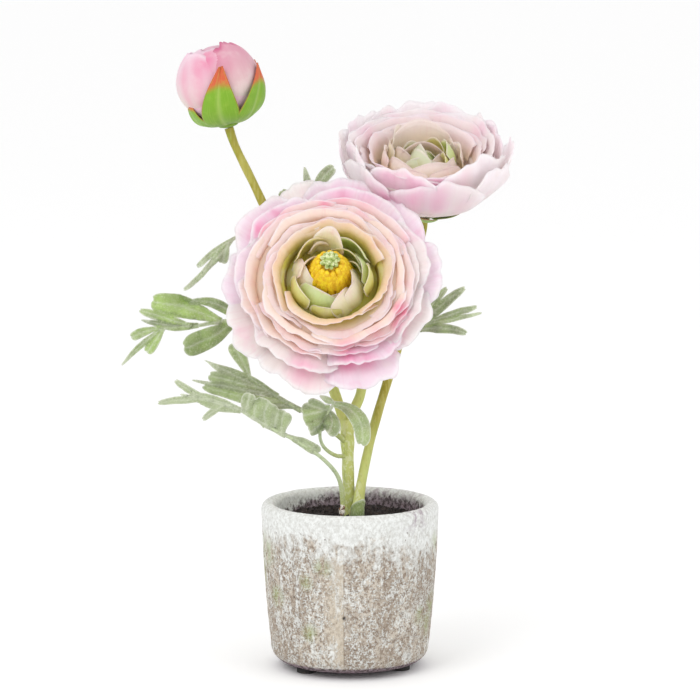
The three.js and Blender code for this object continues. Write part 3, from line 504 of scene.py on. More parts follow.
def crumb_nodes(tree, start):
    """Strews small rough lumps over the faces of the base, by a number per square metre."""
    spread = add_node(tree, "GeometryNodeDistributePointsOnFaces", {
        "Mesh": start["Geometry"], "Density": start["Density"], "Seed": 3})
    lump = add_node(tree, "GeometryNodeMeshIcoSphere", {"Radius": start["Size"], "Subdivisions": 2})
    return add_node(tree, "GeometryNodeInstanceOnPoints", {
        "Points": spread, "Instance": lump, "Rotation": drawn(tree, (0, 0, 0), (6.28, 6.28, 6.28)),
        "Scale": drawn(tree, (0.35, 0.3, 0.25), (1.5, 1.1, 0.9))})


soil = new_piece("potting_soil", in_place(soil_points), soil_faces, earth)
on_part(soil, "soil", "soil")
crumb_base = bpy.data.meshes.new("crumb_base")
top_faces = [face for face in soil_faces if all(
    soil_points[k][2] > SOIL_TOP - 2 and math.hypot(*soil_points[k][:2]) < soil_radius - 1 for k in face)]
crumb_base.from_pydata(in_place(soil_points).tolist(), [], top_faces)
crumb_sizes = {"Density": CRUMBS_PER_SQUARE_METRE, "Size": 0.9 * MM}
on_part(grown("soil_crumbs", crumb_nodes, crumb_base, crumb_sizes, earth), "soil")

# Stems
# A trunk that forks into the branch of the front flower and that of the bud, and a stem of its own
# for the right flower. They are smooth, yellow-green and mottled, and stand in the soil.
FRONT = ((-9, -2, 188.5), (0, -0.839, 0.545))
SIDE = ((37.5, 53, 224.5), (0, -0.3, 0.954))
BUD = ((-61.3, 18, 274), (-0.19, 0, 0.982))
STEM_FOOT = 50
STEM_END = 3.6
TRUNK_PATH = [(0, 0, STEM_FOOT), (-0.3, 0, 82), (-1, 0, 100), (-1.3, 1, 114), (-2, 2, 125)]


def below(seat, axis, drop):
    """A place under a flower's seat, against the way that the flower looks."""
    return tuple(Vector(seat) - Vector(axis).normalized() * drop)


FRONT_PATH = [
    (-1.5, 1, 116), (0.5, 3.5, 126), (5.5, 9, 138), (6, 17, 155), (0, 22, 170),
    below(*FRONT, 14), below(*FRONT, STEM_END)]
BUD_PATH = [
    (-1.5, 1, 118), (-4, 4.5, 127), (-10, 11, 144), (-22, 17, 178), (-44.1, 19, 233),
    below(BUD[0], (-0.28, 0, 0.96), 12), below(*BUD, STEM_END)]
RIGHT_PATH = [
    (3, -8, STEM_FOOT), (4, -5.6, 82), (10, 4, 113), (19, 15, 143), (24, 21, 158), (33, 43, 200),
    below(*SIDE, 8), below(*SIDE, STEM_END)]


def smooth_path(corners, count):
    """Evenly spaced points on a smooth curve through the corners."""
    corners = np.asarray(corners, float)
    ends = np.vstack([2 * corners[0] - corners[1], corners, 2 * corners[-1] - corners[-2]])
    fine = []
    for p0, p1, p2, p3 in zip(ends, ends[1:], ends[2:], ends[3:]):
        gaps = ((p0, p1), (p1, p2), (p2, p3))
        d0, d1, d2 = (max(np.linalg.norm(b - a), 1e-6) ** 0.5 for a, b in gaps)
        leave = ((p1 - p0) / d0 - (p2 - p0) / (d0 + d1) + (p2 - p1) / d1) * d1
        reach = ((p2 - p1) / d1 - (p3 - p1) / (d1 + d2) + (p3 - p2) / d2) * d1
        for t in np.linspace(0, 1, 60, endpoint=False):
            square = (3 * (p2 - p1) - 2 * leave - reach) * t ** 2
            fine.append(p1 + leave * t + square + (2 * (p1 - p2) + leave + reach) * t ** 3)
    fine = np.array(fine + [corners[-1]])
    length = np.concatenate([[0], np.cumsum(np.linalg.norm(np.diff(fine, axis=0), axis=1))])
    wanted = np.linspace(0, length[-1], count)
    return np.stack([np.interp(wanted, length, fine[:, k]) for k in range(fine.shape[1])], axis=1)


skin = Skin("smooth_stem")
_, across, _, height = skin.places()
cloud = skin.noise(160, 4, 0.6, stretch=(1, 1, 0.3))
mottle = skin.noise(620, 3, 0.6, stretch=(1, 1, 0.7))
lines = skin.noise(900, 3, 0.6, stretch=(1, 1, 0.06))
on_trunk = skin.times(skin.step(across, 0.007, 0.003), skin.step(height, 0.13, 0.115))
tint = skin.mixed(skin.step(height, 0.088, 0.138), colour(196, 204, 128), colour(156, 146, 50))
tint = skin.painted(
    tint,
    ((196, 206, 122), skin.step(across, 0.014, 0.008), skin.step(height, 0.18, 0.15), 0.85),
    ((190, 186, 104), skin.step(cloud, 0.42, 0.62), 0.42),
    ((150, 168, 62), skin.step(cloud, 0.45, 0.3), 0.6),
    ((202, 198, 138), skin.step(lines, 0.5, 0.62), 0.24),
    ((228, 230, 196), on_trunk, skin.step(mottle, 0.48, 0.58), 0.5),
    ((132, 130, 70), skin.step(lines, 0.42, 0.32), 0.3))
stem_skin = skin.covered(
    tint, 0.55, lines, 0.35, 0.0004, Specular_IOR_Level=0.3, Subsurface_Weight=0.12,
    Subsurface_Radius=(0.002, 0.002, 0.0006))


def stem_base(name, stems):
    """Lines through the middle of each stem, with its radius kept at each point."""
    points, edges, radii = [], [], []
    for corners, radius_at, count in stems:
        path = smooth_path(corners, count)
        edges += [(len(points) + k, len(points) + k + 1) for k in range(count - 1)]
        points += list(path)
        radii += [radius_at(k / (count - 1)) * MM for k in range(count)]
    base = bpy.data.meshes.new(name)
    base.from_pydata(in_place(points).tolist(), edges, [])
    base.attributes.new("thick", "FLOAT", "POINT").data.foreach_set("value", radii)
    return base


def stem_nodes(tree, start):
    """A round skin with closed ends round each line of the base, as thick as the line says."""
    line = add_node(tree, "GeometryNodeMeshToCurve", {"Mesh": start["Geometry"]})
    thick = add_node(tree, "GeometryNodeInputNamedAttribute", {"Name": "thick"}, data_type="FLOAT")
    ring = add_node(tree, "GeometryNodeCurvePrimitiveCircle", {"Resolution": 20, "Radius": start["Scale"]})
    return add_node(tree, "GeometryNodeCurveToMesh", {
        "Curve": line, "Profile Curve": ring, "Scale": thick, "Fill Caps": True})


def swelling(at, place, width, height):
    """A soft swelling of a stem at one place along it."""
    return height * math.exp(-((at - place) / width) ** 2)


# Of each line of a stem: its path, its radius from foot to end, and its number of points.
stem_lines = {
    "trunk_stem": [
        (TRUNK_PATH, lambda at: 3.0 + swelling(at, 0.86, 0.07, 0.5) + 0.1 * math.sin(31 * at), 60),
        (FRONT_PATH, lambda at: 2.5 + 0.08 * math.sin(40 * at) + swelling(at, 0.03, 0.08, 0.4), 90),
        (BUD_PATH, lambda at: 2.7 - 0.7 * at + 0.06 * math.sin(60 * at) + swelling(at, 1, 0.03, 0.3),
         150)],
    "right_stem": [
        (RIGHT_PATH, lambda at: 2.3 + swelling(at, 0.17, 0.06, 0.6) + 0.08 * math.sin(50 * at), 170)]}
for name, node in (("trunk_stem", "stem_trunk"), ("right_stem", "stem_right")):
    base = stem_base(name + "_lines", stem_lines[name])
    on_part(grown(name, stem_nodes, base, {"Scale": 1.0}, stem_skin), "stem", node)

# Leaves
# Seven felted, deeply cut leaves, each pressed from one cloth-like blade with a wired stalk that
# is pushed into its stem. The places of ribs and tips are those of the part's own leaves.
LEAF_THICK = 0.6
LEAF_EDGE = 0.22
LEAF_POINTS = 0.85
RIB_STEPS = 400
FELT_HAIRS = 5.0e5
RIB_TIP = 0.6
STALK_LAP = 0.12
STALK_ROWS = 40
STALK_SIDES = 12

# Each leaf has its rib, the thickness of its stalk, where along the rib its blade starts and how
# green it is. Of each lobe: where on the rib it starts, its tip, its width, how far it bows forwards
# and sideways, how pointed it is, how far it is painted light as if lit or dark as if shaded, and how
# far it is turned about its own vein.
LEAVES = {
    "leaf_left": {
        "rib": [(-18, 15, 166), (-30, 17, 170), (-46, 13, 174), (-60.5, 8, 174.5), (-79, 2, 172.5),
                (-96, -4, 172)],
        "stalk": 1.2, "blade": 0.45, "green": 0.9,
        "lobes": [
            (0.6, (-99, -3, 185.5), 11, 1.5, -1.5, 0, 1.0, -0.25),
            (0.5, (-81.5, 8, 184), 8, 3, -4.5, 0.8, -0.2, 0.3),
            (0.5, (-83, -6, 162.4), 11, 1.5, 1.5, 0, -0.1, 0.3),
            (0.78, (-104.8, -7, 181.8), 5.5, 0.5, 0, 0.4, 0.2, 0),
            (0.74, (-104, -8, 177.2), 7.5, 0.5, 1.5, 0.85, -1.0, 0.4),
            (0.99, (-108.8, -10, 168.3), 5, 1, -1, 0, 0.3, 0),
            (0.97, (-113.5, -12, 154.7), 4.5, 1, -1, 0.75, -0.2, 0.3),
            (0.96, (-101, -10, 160.8), 5.5, 1, 0, 0, 0.7, -0.2)]},
    "leaf_upper_left": {
        "rib": [(-41.5, 19, 226), (-50, 16, 221), (-58, 12, 215.5), (-66, 8, 211)],
        "stalk": 1.1, "blade": 0.4, "green": 0.45,
        "lobes": [
            (0.6, (-76.5, 5, 202), 3.5, 1.5, -1, 0.2, 0.1, 0.3),
            (0.7, (-74, 1, 199.5), 4.2, 2, 0.5, 0.4, -0.4, -0.3),
            (0.98, (-83, -3, 191.3), 3.4, 2, 2, 0.3, -0.1, 0.2),
            (0.8, (-64, 7, 203.5), 5, 0.5, 0, 0, -0.3, 0)]},
    "leaf_low": {
        "rib": [(-1, 1, 113), (-6, -4, 118), (-14, -8, 124.5), (-23, -11, 131), (-34, -14, 138),
                (-50.5, -16, 150)],
        "stalk": 1.5, "blade": 0.5, "green": 0.5,
        "lobes": [
            (0.99, (-59, -14, 166), 7, 0.5, -0.8, 0, 0.2, 0.2),
            (0.72, (-72.5, -18, 158.6), 10.5, 1, 0, 0.97, -0.5, -0.2),
            (0.8, (-70, -21, 151.2), 7, 0.5, 0, 0, 0.0, 0.3),
            (0.74, (-78.5, -22, 149), 4, 1, 0, 0.7, -0.8, 0),
            (0.66, (-73, -22, 146), 6, 1.5, 1.5, 0.2, 0.6, 0.2),
            (0.56, (-53, -24, 138), 6, 2.5, 0, 0.5, -0.5, 0)]},
    "leaf_base": {
        "rib": [(-3, -9.5, 66), (-3.5, -9, 82), (-5.5, -10, 97), (-12, -14, 106.5), (-25, -20, 117),
                (-41.5, -27, 127), (-57, -31, 137), (-68, -32, 141)],
        "stalk": 1.4, "blade": 0.62, "green": 0.25,
        "lobes": [
            (0.64, (-32, -28, 134.5), 9, 0.5, 1, 0, 0.4, 0.3),
            (0.72, (-39.5, -32, 140), 13, 0.5, 2, 0, 0.3, -0.2),
            (0.84, (-49, -32, 144), 8.5, 1, 0, 0.3, -0.2, 0.2),
            (0.86, (-79, -33, 144), 9.5, 1, 0.5, 0.6, -0.3, 0),
            (0.98, (-86, -33, 150.5), 4, 1, 1.2, 0.2, 0.5, 0.2),
            (0.99, (-94.5, -35, 139.5), 4.4, 1.5, -0.9, 0.35, 0.2, 0),
            (0.9, (-83.7, -33, 143.6), 3.4, 1, 0, 0.6, -0.1, 0),
            (0.93, (-72.5, -32, 130.5), 4.5, 0.5, -0.8, 0.4, 0.0, 0),
            (0.62, (-15, -15.5, 111.5), 5.5, 0, 0.6, 0, 0.6, 0.2),
            (0.79, (-46, -31, 138), 10, 0.5, 0.5, 0, 0.5, 0.3),
            (0.68, (-35.5, -29, 134), 9, 0.5, 0.5, 0, -0.2, 0.3)]},
    "leaf_centre": {
        "rib": [(-1, 0, 107), (-7, -5, 108), (-13, -9, 113), (-15, -13, 120), (-12, -17, 130),
                (-7, -20, 138)],
        "stalk": 1.1, "blade": 0.78, "green": 0.55,
        "lobes": [
            (0.8, (-20, -25, 123), 8, 2, 1, 0, 0.1, 0.3),
            (0.85, (-11, -26, 122.5), 9.5, 2, 2, 0.1, -0.3, -0.2),
            (0.86, (-21.5, -22, 137), 9, 1.5, 0, 0.1, -0.4, 0.2),
            (0.97, (-15, -24, 141.5), 5, 1, 0, 0.8, 0.2, 0),
            (0.96, (6, -31, 117.5), 9.5, 3, 6, 0.2, 0.3, -0.2),
            (0.9, (-23.5, -23, 131), 12, 1.5, 0, 0, 0.4, 0)]},
    "leaf_right": {
        "rib": [(24.5, 21.5, 159), (27, 17, 162), (30, 13, 165.5), (34, 9, 170), (42, 6, 175)],
        "stalk": 1.0, "blade": 0.45, "green": 0.75,
        "lobes": [
            (0.55, (57.5, 0, 192.5), 7, 1, 1, 0.55, -0.5, 0.2),
            (0.6, (48.5, 3, 192), 4, 1, 1, 0.2, 0.1, 0),
            (0.85, (63.5, -2, 183), 5, 1, 0.5, 0.5, -0.3, 0.2),
            (0.6, (58.5, -2, 169.5), 6, 2, 2, 0.4, -0.7, -0.2),
            (0.8, (66, -3, 180), 3.4, 1, 0, 0.6, 0.2, 0)]},
    "leaf_top": {
        "rib": [(-29, 18, 196), (-27, 25, 208), (-23, 29, 225), (-18, 30, 238)],
        "stalk": 1.1, "blade": 0.5, "green": 0.4,
        "lobes": [
            (0.9, (-23, 29, 250), 6, 0.5, 0, 0.8, -0.3, 0),
            (0.98, (-8, 24, 250.5), 7, 2, 1, 0.2, -0.5, 0.3),
            (0.7, (-35, 27, 238), 6, 1, 0, 0, -0.2, 0),
            (0.6, (-12, 31, 228), 6, 1, 0, 0, -0.2, 0)]},
}

skin = Skin("felted_leaf")
fuzz = skin.noise(1300, 3, 0.7)
patch = skin.noise(210, 5, 0.62)
tint = skin.painted(
    skin.kept_tint(),
    ((196, 204, 172), skin.step(patch, 0.5, 0.72), 0.3),
    ((110, 128, 70), skin.step(patch, 0.46, 0.3), 0.4),
    ((222, 226, 202), skin.step(fuzz, 0.5, 0.66), 0.35))
felt = skin.covered(tint, 0.95, fuzz, 0.6, 0.0004, Sheen_Weight=0.25, Sheen_Roughness=0.6)


def lobe_outline(root, tip, width, side, point):
    """The outline and middle line of one lobe, seen from the front: its tip is blunt and scalloped."""
    start, stop = np.array([root[0], root[2]]), np.array([tip[0], tip[2]])
    length = np.linalg.norm(stop - start)
    across = np.array([-(stop - start)[1], (stop - start)[0]]) / length
    bend = (start + stop) / 2 + across * 2 * side

    def edge(v, u):
        at = min(v, 1)
        swell = 0.34 + 0.66 * math.sin(math.pi * min(0.5, 0.7 * at)) ** 1.4
        taper = 1 - point * max(0, at - 0.3) / 0.7
        middle = (1 - at) ** 2 * start + 2 * at * (1 - at) * bend + at * at * stop
        tangent = (1 - at) * (bend - start) + at * (stop - bend)
        tangent = tangent / np.linalg.norm(tangent)
        flat = np.array([-tangent[1], tangent[0]])
        return middle + tangent * (v - at) * length + flat * (width / 2) * swell * taper * u

    right = [edge(v, -1) for v in np.linspace(0, 0.74, 12)]
    notches = ((0.74, -1), (0.85, -0.97), (0.94, -0.8), (0.99, -0.5), (0.975, -0.2), (1, 0.1),
               (0.99, 0.45), (0.945, 0.78), (0.86, 0.96), (0.74, 1))
    teeth = [edge(v, u) for v, u in notches]
    left = [edge(v, 1) for v in np.linspace(0.74, 0, 12)]
    outline = right[:-1] + list(smooth_path(teeth, 34)) + left[1:]
    return np.array(outline), np.array([edge(v, 0) for v in np.linspace(0, 0.94, 40)])


def rib_radii(leaf, count):
    """The radius of a leaf's rib at even steps from its stem to its tip."""
    return leaf["stalk"] + (RIB_TIP - leaf["stalk"]) * (np.arange(count) / (count - 1))


def rib_outline(path, radii):
    """The rib as a tapering strip, seen from the front, and its middle line."""
    flat = path[:, [0, 2]]
    tangent = np.gradient(flat, axis=0)
    normal = np.stack([-tangent[:, 1], tangent[:, 0]], axis=1)
    normal /= np.linalg.norm(normal, axis=1, keepdims=True)
    thick = radii[:, None]
    return np.vstack([flat - normal * thick, (flat + normal * thick)[::-1]]), flat


def tube(path, radii, sides):
    """Points and faces of a round bar along a path, with closed ends."""
    tangent = np.gradient(path, axis=0)
    tangent /= np.linalg.norm(tangent, axis=1, keepdims=True)
    side = np.cross(tangent[0], (0.3, 0.5, 0.8))
    points = []
    for middle, along, radius in zip(path, tangent, radii):
        side = side - along * side.dot(along)
        side /= np.linalg.norm(side)
        other = np.cross(along, side)
        for turn in np.linspace(0, 2 * math.pi, sides, endpoint=False):
            points.append(middle + (side * math.cos(turn) + other * math.sin(turn)) * radius)
    faces = [list(range(sides))[::-1], [len(points) - sides + k for k in range(sides)]]
    for j in range(len(path) - 1):
        for k in range(sides):
            a, b = j * sides + k, j * sides + (k + 1) % sides
            faces.append([a, b, b + sides, a + sides])
    return np.array(points), faces


def smoothstep(value, low, high):
    """How far values have gone from low to high, from 0 to 1, with soft ends."""
    share = np.clip((np.asarray(value, float) - low) / (high - low), 0, 1)
    return share * share * (3 - 2 * share)


def blend(amount, first, second):
    """Colours mixed by an amount for each point."""
    amount = np.asarray(amount, float)[..., None]
    return np.asarray(first, float) * (1 - amount) + np.asarray(second, float) * amount


def vein_points(path, painted_light, tilt):
    """Points of a vein: place, way, how far along it each is, how far its lobe is painted as lit or
    shaded, and how far it is turned.
    """
    way = np.gradient(path, axis=0)
    way /= np.linalg.norm(way, axis=1, keepdims=True)
    along = np.linspace(0, 1, len(path))
    return np.column_stack([path, way, along, np.full(len(path), painted_light), np.full(len(path), tilt)])


def leaf_sheet(leaf):
    """Flat points, triangles and depths of a leaf's blade, with its distances to edge and veins."""
    path = smooth_path(leaf["rib"], RIB_STEPS + 1)
    blade_path = smooth_path(path[int(leaf["blade"] * RIB_STEPS):], 60)
    outline, vein = rib_outline(blade_path, rib_radii(leaf, 60))
    outlines, veins = [outline], [vein_points(vein, 0, 0)]
    known = [path[round(RIB_STEPS * i / 12)] for i in range(13)]
    for at, tip, width, bow, side, point, painted_light, tilt in leaf["lobes"]:
        root = path[round(at * RIB_STEPS)]
        middle = (root + np.array(tip)) / 2
        known += [np.array(tip, float), middle - np.array([0, bow, 0])]
        outline, vein = lobe_outline(root, tip, width, side, point)
        outlines.append(outline)
        veins.append(vein_points(vein, painted_light, tilt))
    known = np.array(known)
    low = np.vstack(outlines).min(axis=0)
    high = np.vstack(outlines).max(axis=0)
    rows = np.arange(low[1], high[1], LEAF_POINTS * 0.87)
    seeds = [(x + (j % 2) * LEAF_POINTS / 2, z) for j, z in enumerate(rows)
             for x in np.arange(low[0], high[0], LEAF_POINTS)]
    corners, rings = list(map(tuple, seeds)), []
    for outline in outlines:
        rings.append(list(range(len(corners), len(corners) + len(outline))))
        corners += list(map(tuple, outline))
    made = geometry.delaunay_2d_cdt([Vector(c) for c in corners], [], rings, 1, 1e-4)
    points = np.array([tuple(p) for p in made[0]])
    triangles = np.array([face for face, origin in zip(made[2], made[5]) if origin])
    used = np.unique(triangles)
    number = np.full(len(points), -1)
    number[used] = np.arange(len(used))
    return points[used], number[triangles], known, np.vstack(veins), path


def open_edges(triangles):
    """The edges that have a face on one side only, in the direction of that face."""
    sides = {}
    for a, b, c in triangles.tolist():
        for edge in ((a, b), (b, c), (c, a)):
            if edge[::-1] in sides:
                del sides[edge[::-1]]
            else:
                sides[edge] = True
    return list(sides)


# Painted light and shade: the lobes are coloured between a lit green and a shaded green. The lit green
# also tints the stalks.
LEAF_LIT_GREEN = np.array(colour(156, 184, 96))
LEAF_SHADED_GREEN = np.array(colour(112, 128, 80))
LEAF_GREY = np.array(colour(160, 168, 138))
LEAF_PALE = np.array(colour(216, 220, 202))
STALK_FOOT = np.array(colour(172, 180, 92))


def leaf_mesh(leaf):
    """Both faces of a leaf with its edge, and its stalk, with the colour of each point."""
    flat, triangles, known, veins, path = leaf_sheet(leaf)
    across, upwards = (flat[:, None, k] - known[None, :, 2 * k] for k in range(2))
    gaps = (across ** 2 + upwards ** 2 + 2) ** 2
    depth = (known[None, :, 1] / gaps).sum(axis=1) / (1 / gaps).sum(axis=1)
    rim = open_edges(triangles)
    rim_points = flat[np.unique(np.array(rim))]
    edge_gap = np.sqrt(((flat[:, None, :] - rim_points[None, :, :]) ** 2).sum(axis=2)).min(axis=1)
    apart = flat[:, None, :] - veins[None, :, :2]
    gaps = np.sqrt((apart ** 2).sum(axis=2))
    closest = gaps.argmin(axis=1)
    vein_gap = gaps.min(axis=1)
    apart = apart[np.arange(len(flat)), closest]
    way_x, way_z, along, painted_light, tilt = veins[closest, 2:].T
    side = way_x * apart[:, 1] - way_z * apart[:, 0]
    free = smoothstep(along, 0.25, 0.75)
    groove = np.exp(-(vein_gap / 0.5) ** 2)
    cup = smoothstep(edge_gap, 0, 3.2)
    depth = depth + 0.35 * groove - 0.5 * (1 - cup) + free * (tilt * side - 0.18 * np.abs(side))
    depth += np.array([0.6 * noise.noise(Vector((x * 0.23, 7, z * 0.23))) for x, z in flat])
    half = LEAF_EDGE / 2 + (LEAF_THICK - LEAF_EDGE) / 2 * smoothstep(edge_gap, 0, 1.3)
    middle = np.stack([flat[:, 0], depth, flat[:, 1]], axis=1)
    normal = np.zeros_like(middle)
    a, b, c = (middle[triangles[:, k]] for k in range(3))
    turned = np.cross(b - a, c - a)
    for k in range(3):
        np.add.at(normal, triangles[:, k], turned)
    normal /= np.linalg.norm(normal, axis=1, keepdims=True)
    count = len(flat)
    points = np.vstack([middle + normal * half[:, None], middle - normal * half[:, None]])
    faces = triangles.tolist() + (triangles[:, ::-1] + count).tolist()
    faces += [[b, a, a + count, b + count] for a, b in rim]
    cloudy = np.array([noise.noise(Vector((x * 0.2, 3, z * 0.2))) for x, z in flat])
    # Painted light and shade: each lobe is lighter or darker as if lit or shaded, mixed with cloudy spots
    # of its own colour.
    tint = blend(smoothstep(painted_light + 0.7 * cloudy, -1, 1), LEAF_SHADED_GREEN, LEAF_LIT_GREEN)
    greyed = 0.85 * (1 - leaf["green"]) + 0.15 * (1 - smoothstep(edge_gap, 0.4, 2.6))
    tint = blend(greyed, tint, LEAF_GREY)
    tint = blend(0.5 * groove, tint, LEAF_PALE)
    tint = blend(0.85 * (1 - smoothstep(edge_gap, 0, 0.55)), tint, LEAF_PALE)
    back = blend(np.full(count, 0.7), tint, LEAF_GREY)
    front_is_first = normal[:, 1].mean() < 0
    tints = np.vstack([tint, back] if front_is_first else [back, tint])
    stalk = path[:int(min(leaf["blade"] + STALK_LAP, 1) * RIB_STEPS) + 1]
    bar_points, bar_faces = tube(
        smooth_path(stalk, STALK_ROWS), rib_radii(leaf, STALK_ROWS), STALK_SIDES)
    faces += [[k + 2 * count for k in face] for face in bar_faces]
    from_stem = np.repeat(np.linspace(0, 1, STALK_ROWS), STALK_SIDES)
    stalk_tint = blend(smoothstep(from_stem, 0.1, 0.5), STALK_FOOT, blend(0.5, LEAF_LIT_GREEN, LEAF_PALE))
    return np.vstack([points, bar_points]), faces, np.vstack([tints, stalk_tint])


def hair_nodes(tree, start):
    """Short fine hairs that stand on the base and lean every way, by a number per square metre."""
    strewn = add_node(tree, "GeometryNodeDistributePointsOnFaces", {
        "Mesh": start["Geometry"], "Density": start["Density"], "Seed": 8})
    hair = add_node(tree, "GeometryNodeMeshCone", {
        "Vertices": 3, "Radius Top": 0.0, "Radius Bottom": start["Width"], "Depth": start["Length"]},
        fill_type="NONE")
    turn = add_node(tree, "FunctionNodeRotateRotation", {
        "Rotation": strewn.outputs["Rotation"],
        "Rotate By": drawn(tree, (-0.9, -0.9, 0), (0.9, 0.9, 6.28), 4)}, rotation_space="LOCAL")
    scale = add_node(
        tree, "FunctionNodeRandomValue", {"Min": 0.5, "Max": 1.2, "Seed": 5}, data_type="FLOAT")
    return add_node(tree, "GeometryNodeInstanceOnPoints", {
        "Points": strewn, "Instance": hair, "Rotation": turn, "Scale": scale.outputs[1]})


def shared(pieces):
    """Several meshes with the values of their points, joined in one."""
    points, faces, values, start = [], [], {}, 0
    for piece_points, piece_faces, piece_values in pieces:
        points.append(piece_points)
        faces += [[k + start for k in face] for face in piece_faces]
        start += len(piece_points)
        for label, value in piece_values.items():
            values.setdefault(label, []).append(value)
    return np.vstack(points), faces, {label: np.concatenate(value) for label, value in values.items()}


white_felt = two_tone("white_felt_hair", (300, 3), 0.4, 0.6, (180, 192, 148), (224, 228, 208), 0.9)
blades = []
for name, leaf in LEAVES.items():
    points, faces, tints = leaf_mesh(leaf)
    on_part(new_piece("felt_" + name, in_place(points), faces, felt, {"tint": tints}), "leaf", name)
    blades.append((points, faces, {}))
points, faces, _ = shared(blades)
hair_base = bpy.data.meshes.new("hair_base")
hair_base.from_pydata(in_place(points).tolist(), [], faces)
hair_sizes = {"Density": FELT_HAIRS, "Width": 0.05 * MM, "Length": 0.7 * MM}
on_part(grown("leaf_felt_hairs", hair_nodes, hair_base, hair_sizes, white_felt), "leaf")

# Foot of the stems
# A short green sheath of the same felted cloth clasps the right stem where it leaves the soil, and
# a crumbly white and brown knob of glue and bark is left at the trunk's side.
SHEATH_FOOT = 74.5
SHEATH_TOP = 86.5
SHEATH_THICK = 0.6
SHEATH_RIM = 0.3
KNOB_PLACE = (-3.9, -11.1, 81.2)
KNOB_SIZE = (1.5, 1.4, 2.8)


def sheet_mesh(grid, thick, rim):
    """Both faces of a blade round a grid of middle points, with its edge. Outer face first."""
    rows, columns = grid.shape[:2]
    normal = np.cross(np.gradient(grid, axis=1), np.gradient(grid, axis=0))
    normal /= np.maximum(np.linalg.norm(normal, axis=2, keepdims=True), 1e-9)
    u, v = np.meshgrid(np.linspace(-1, 1, columns), np.linspace(0, 1, rows))
    edge = np.minimum((1 - v) * 1.6, (1 - np.abs(u)) * 1.2)
    half = (rim + (thick - rim) * smoothstep(edge, 0, 0.22)) / 2
    outer, inner = grid + normal * half[..., None], grid - normal * half[..., None]
    count = rows * columns
    a = (np.arange(rows - 1)[:, None] * columns + np.arange(columns - 1)[None, :]).ravel()
    faces = np.stack([a, a + 1, a + columns + 1, a + columns], axis=1)
    loop = list(range(columns)) + [columns * j + columns - 1 for j in range(1, rows)]
    loop += [columns * (rows - 1) + k for k in range(columns - 2, -1, -1)]
    loop += [columns * j for j in range(rows - 2, 0, -1)]
    border = [[b, a, a + count, b + count] for a, b in zip(loop, loop[1:] + loop[:1])]
    points = np.vstack([outer.reshape(-1, 3), inner.reshape(-1, 3)])
    return points, faces.tolist() + (faces[:, ::-1] + count).tolist() + border


u, v = np.meshgrid(np.linspace(-1, 1, 41), np.linspace(0, 1, 25))
middle_line = smooth_path(RIGHT_PATH, 170)
rise = v * (SHEATH_TOP - SHEATH_FOOT) * (1 - 0.55 * np.abs(u - 0.1) ** 1.3) + SHEATH_FOOT
clasp = np.radians(-80 + 150 * u)
reach = 3.4 - 0.3 * v + 0.35 * np.sin(5 * u + 2 * v) + 0.5 * smoothstep(v, 0.7, 1)
grid = np.stack([
    np.interp(rise, middle_line[:, 2], middle_line[:, 0]) + reach * np.cos(clasp),
    np.interp(rise, middle_line[:, 2], middle_line[:, 1]) + reach * np.sin(clasp), rise], axis=2)
points, faces = sheet_mesh(grid, SHEATH_THICK, SHEATH_RIM)
tint = blend(smoothstep(v, 0.1, 0.8), colour(92, 112, 52), colour(146, 164, 96))
tint = blend(0.8 * smoothstep(np.maximum(v, np.abs(u)), 0.88, 1.0), tint, LEAF_PALE).reshape(-1, 4)
sheath = new_piece("stem_sheath", in_place(points), faces, felt, {"tint": np.vstack([tint, tint])})
on_part(sheath, "leaf")

bark = two_tone(
    "white_brown_crumb", (700, 3, 0.7), 0.44, 0.52, (120, 84, 54), (232, 226, 214), 0.9, 0.6, 0.0004)
points, faces = revolve([(0, -2.6)] + arc(0, 0, 1.0, -80, 80, 24) + [(0, 2.6)], 48)
points[1:-1] *= KNOB_SIZE
points = np.array([p * (1 + 0.34 * noise.noise(Vector(p) * 0.9)) for p in points]) + KNOB_PLACE
on_part(new_piece("bark_crumb", in_place(points), faces, bark), "soil")

# Front flower's petals
# Seven layers of thin, waved cloth petals round an open bowl, each glued at its root to a core. The
# outer ones lie wide and ruffled, and the inner ones stand upright with pale rims turned outwards.
FRONT_FLOOR = 14
FRONT_BOWL = 23.5
PETAL_THICK = 0.45
PETAL_RIM = 0.15


def placed(points, seat, axis):
    """From a flower's own frame, around +Z, to its place on its stem."""
    turn = np.array(Vector((0, 0, 1)).rotation_difference(Vector(axis).normalized()).to_matrix())
    return np.asarray(points) @ turn.T + np.array(seat, float)


def profile_at(corners, v):
    """Points of a cubic curve in the radius and height plane, and the outward way from it."""
    p0, p1, p2, p3 = (np.array(c, float) for c in corners)
    v = np.asarray(v, float)[..., None]
    w = 1 - v
    place = w ** 3 * p0 + 3 * w * w * v * p1 + 3 * w * v * v * p2 + v ** 3 * p3
    slope = 3 * (w * w * (p1 - p0) + 2 * w * v * (p2 - p1) + v * v * (p3 - p2))
    slope /= np.linalg.norm(slope, axis=-1, keepdims=True)
    return place[..., 0], place[..., 1], slope[..., 1], -slope[..., 0]


def petal_tint(u, v, finish, hot):
    """Colours of a petal's outer and inner face, from root to rim. Hot is how pink each point is."""
    rim = smoothstep(v + 0.04 * np.abs(u), 0.93, 1.0)
    rim = np.maximum(rim, finish.get("side_rim", 0) * smoothstep(np.abs(u), 0.93, 1.0))
    high = smoothstep(v, 0.3, 0.95)
    root = 1 - smoothstep(v, 0.1, finish.get("root_end", 0.6))
    outer = blend(high, finish["outer_low"], finish["outer_high"])
    outer = blend(0.6 * root, outer, finish["root"])
    outer = blend(0.85 * hot, outer, finish["hot"])
    outer = blend(0.7 * rim, outer, finish["rim"])
    inner = blend(high, finish["inner_low"], finish["inner_high"])
    inner = blend(0.8 * root, inner, finish["root"])
    inner = blend(0.7 * hot, inner, finish["hot"])
    inner = blend(rim, inner, finish["rim"])
    return outer, inner


def swell(angles, waves, layer):
    """A soft uneven wave round the axis that changes little from one layer to the next."""
    return np.array([noise.noise(Vector((math.cos(a) * waves, math.sin(a) * waves, layer * 0.4)))
                     for a in angles])


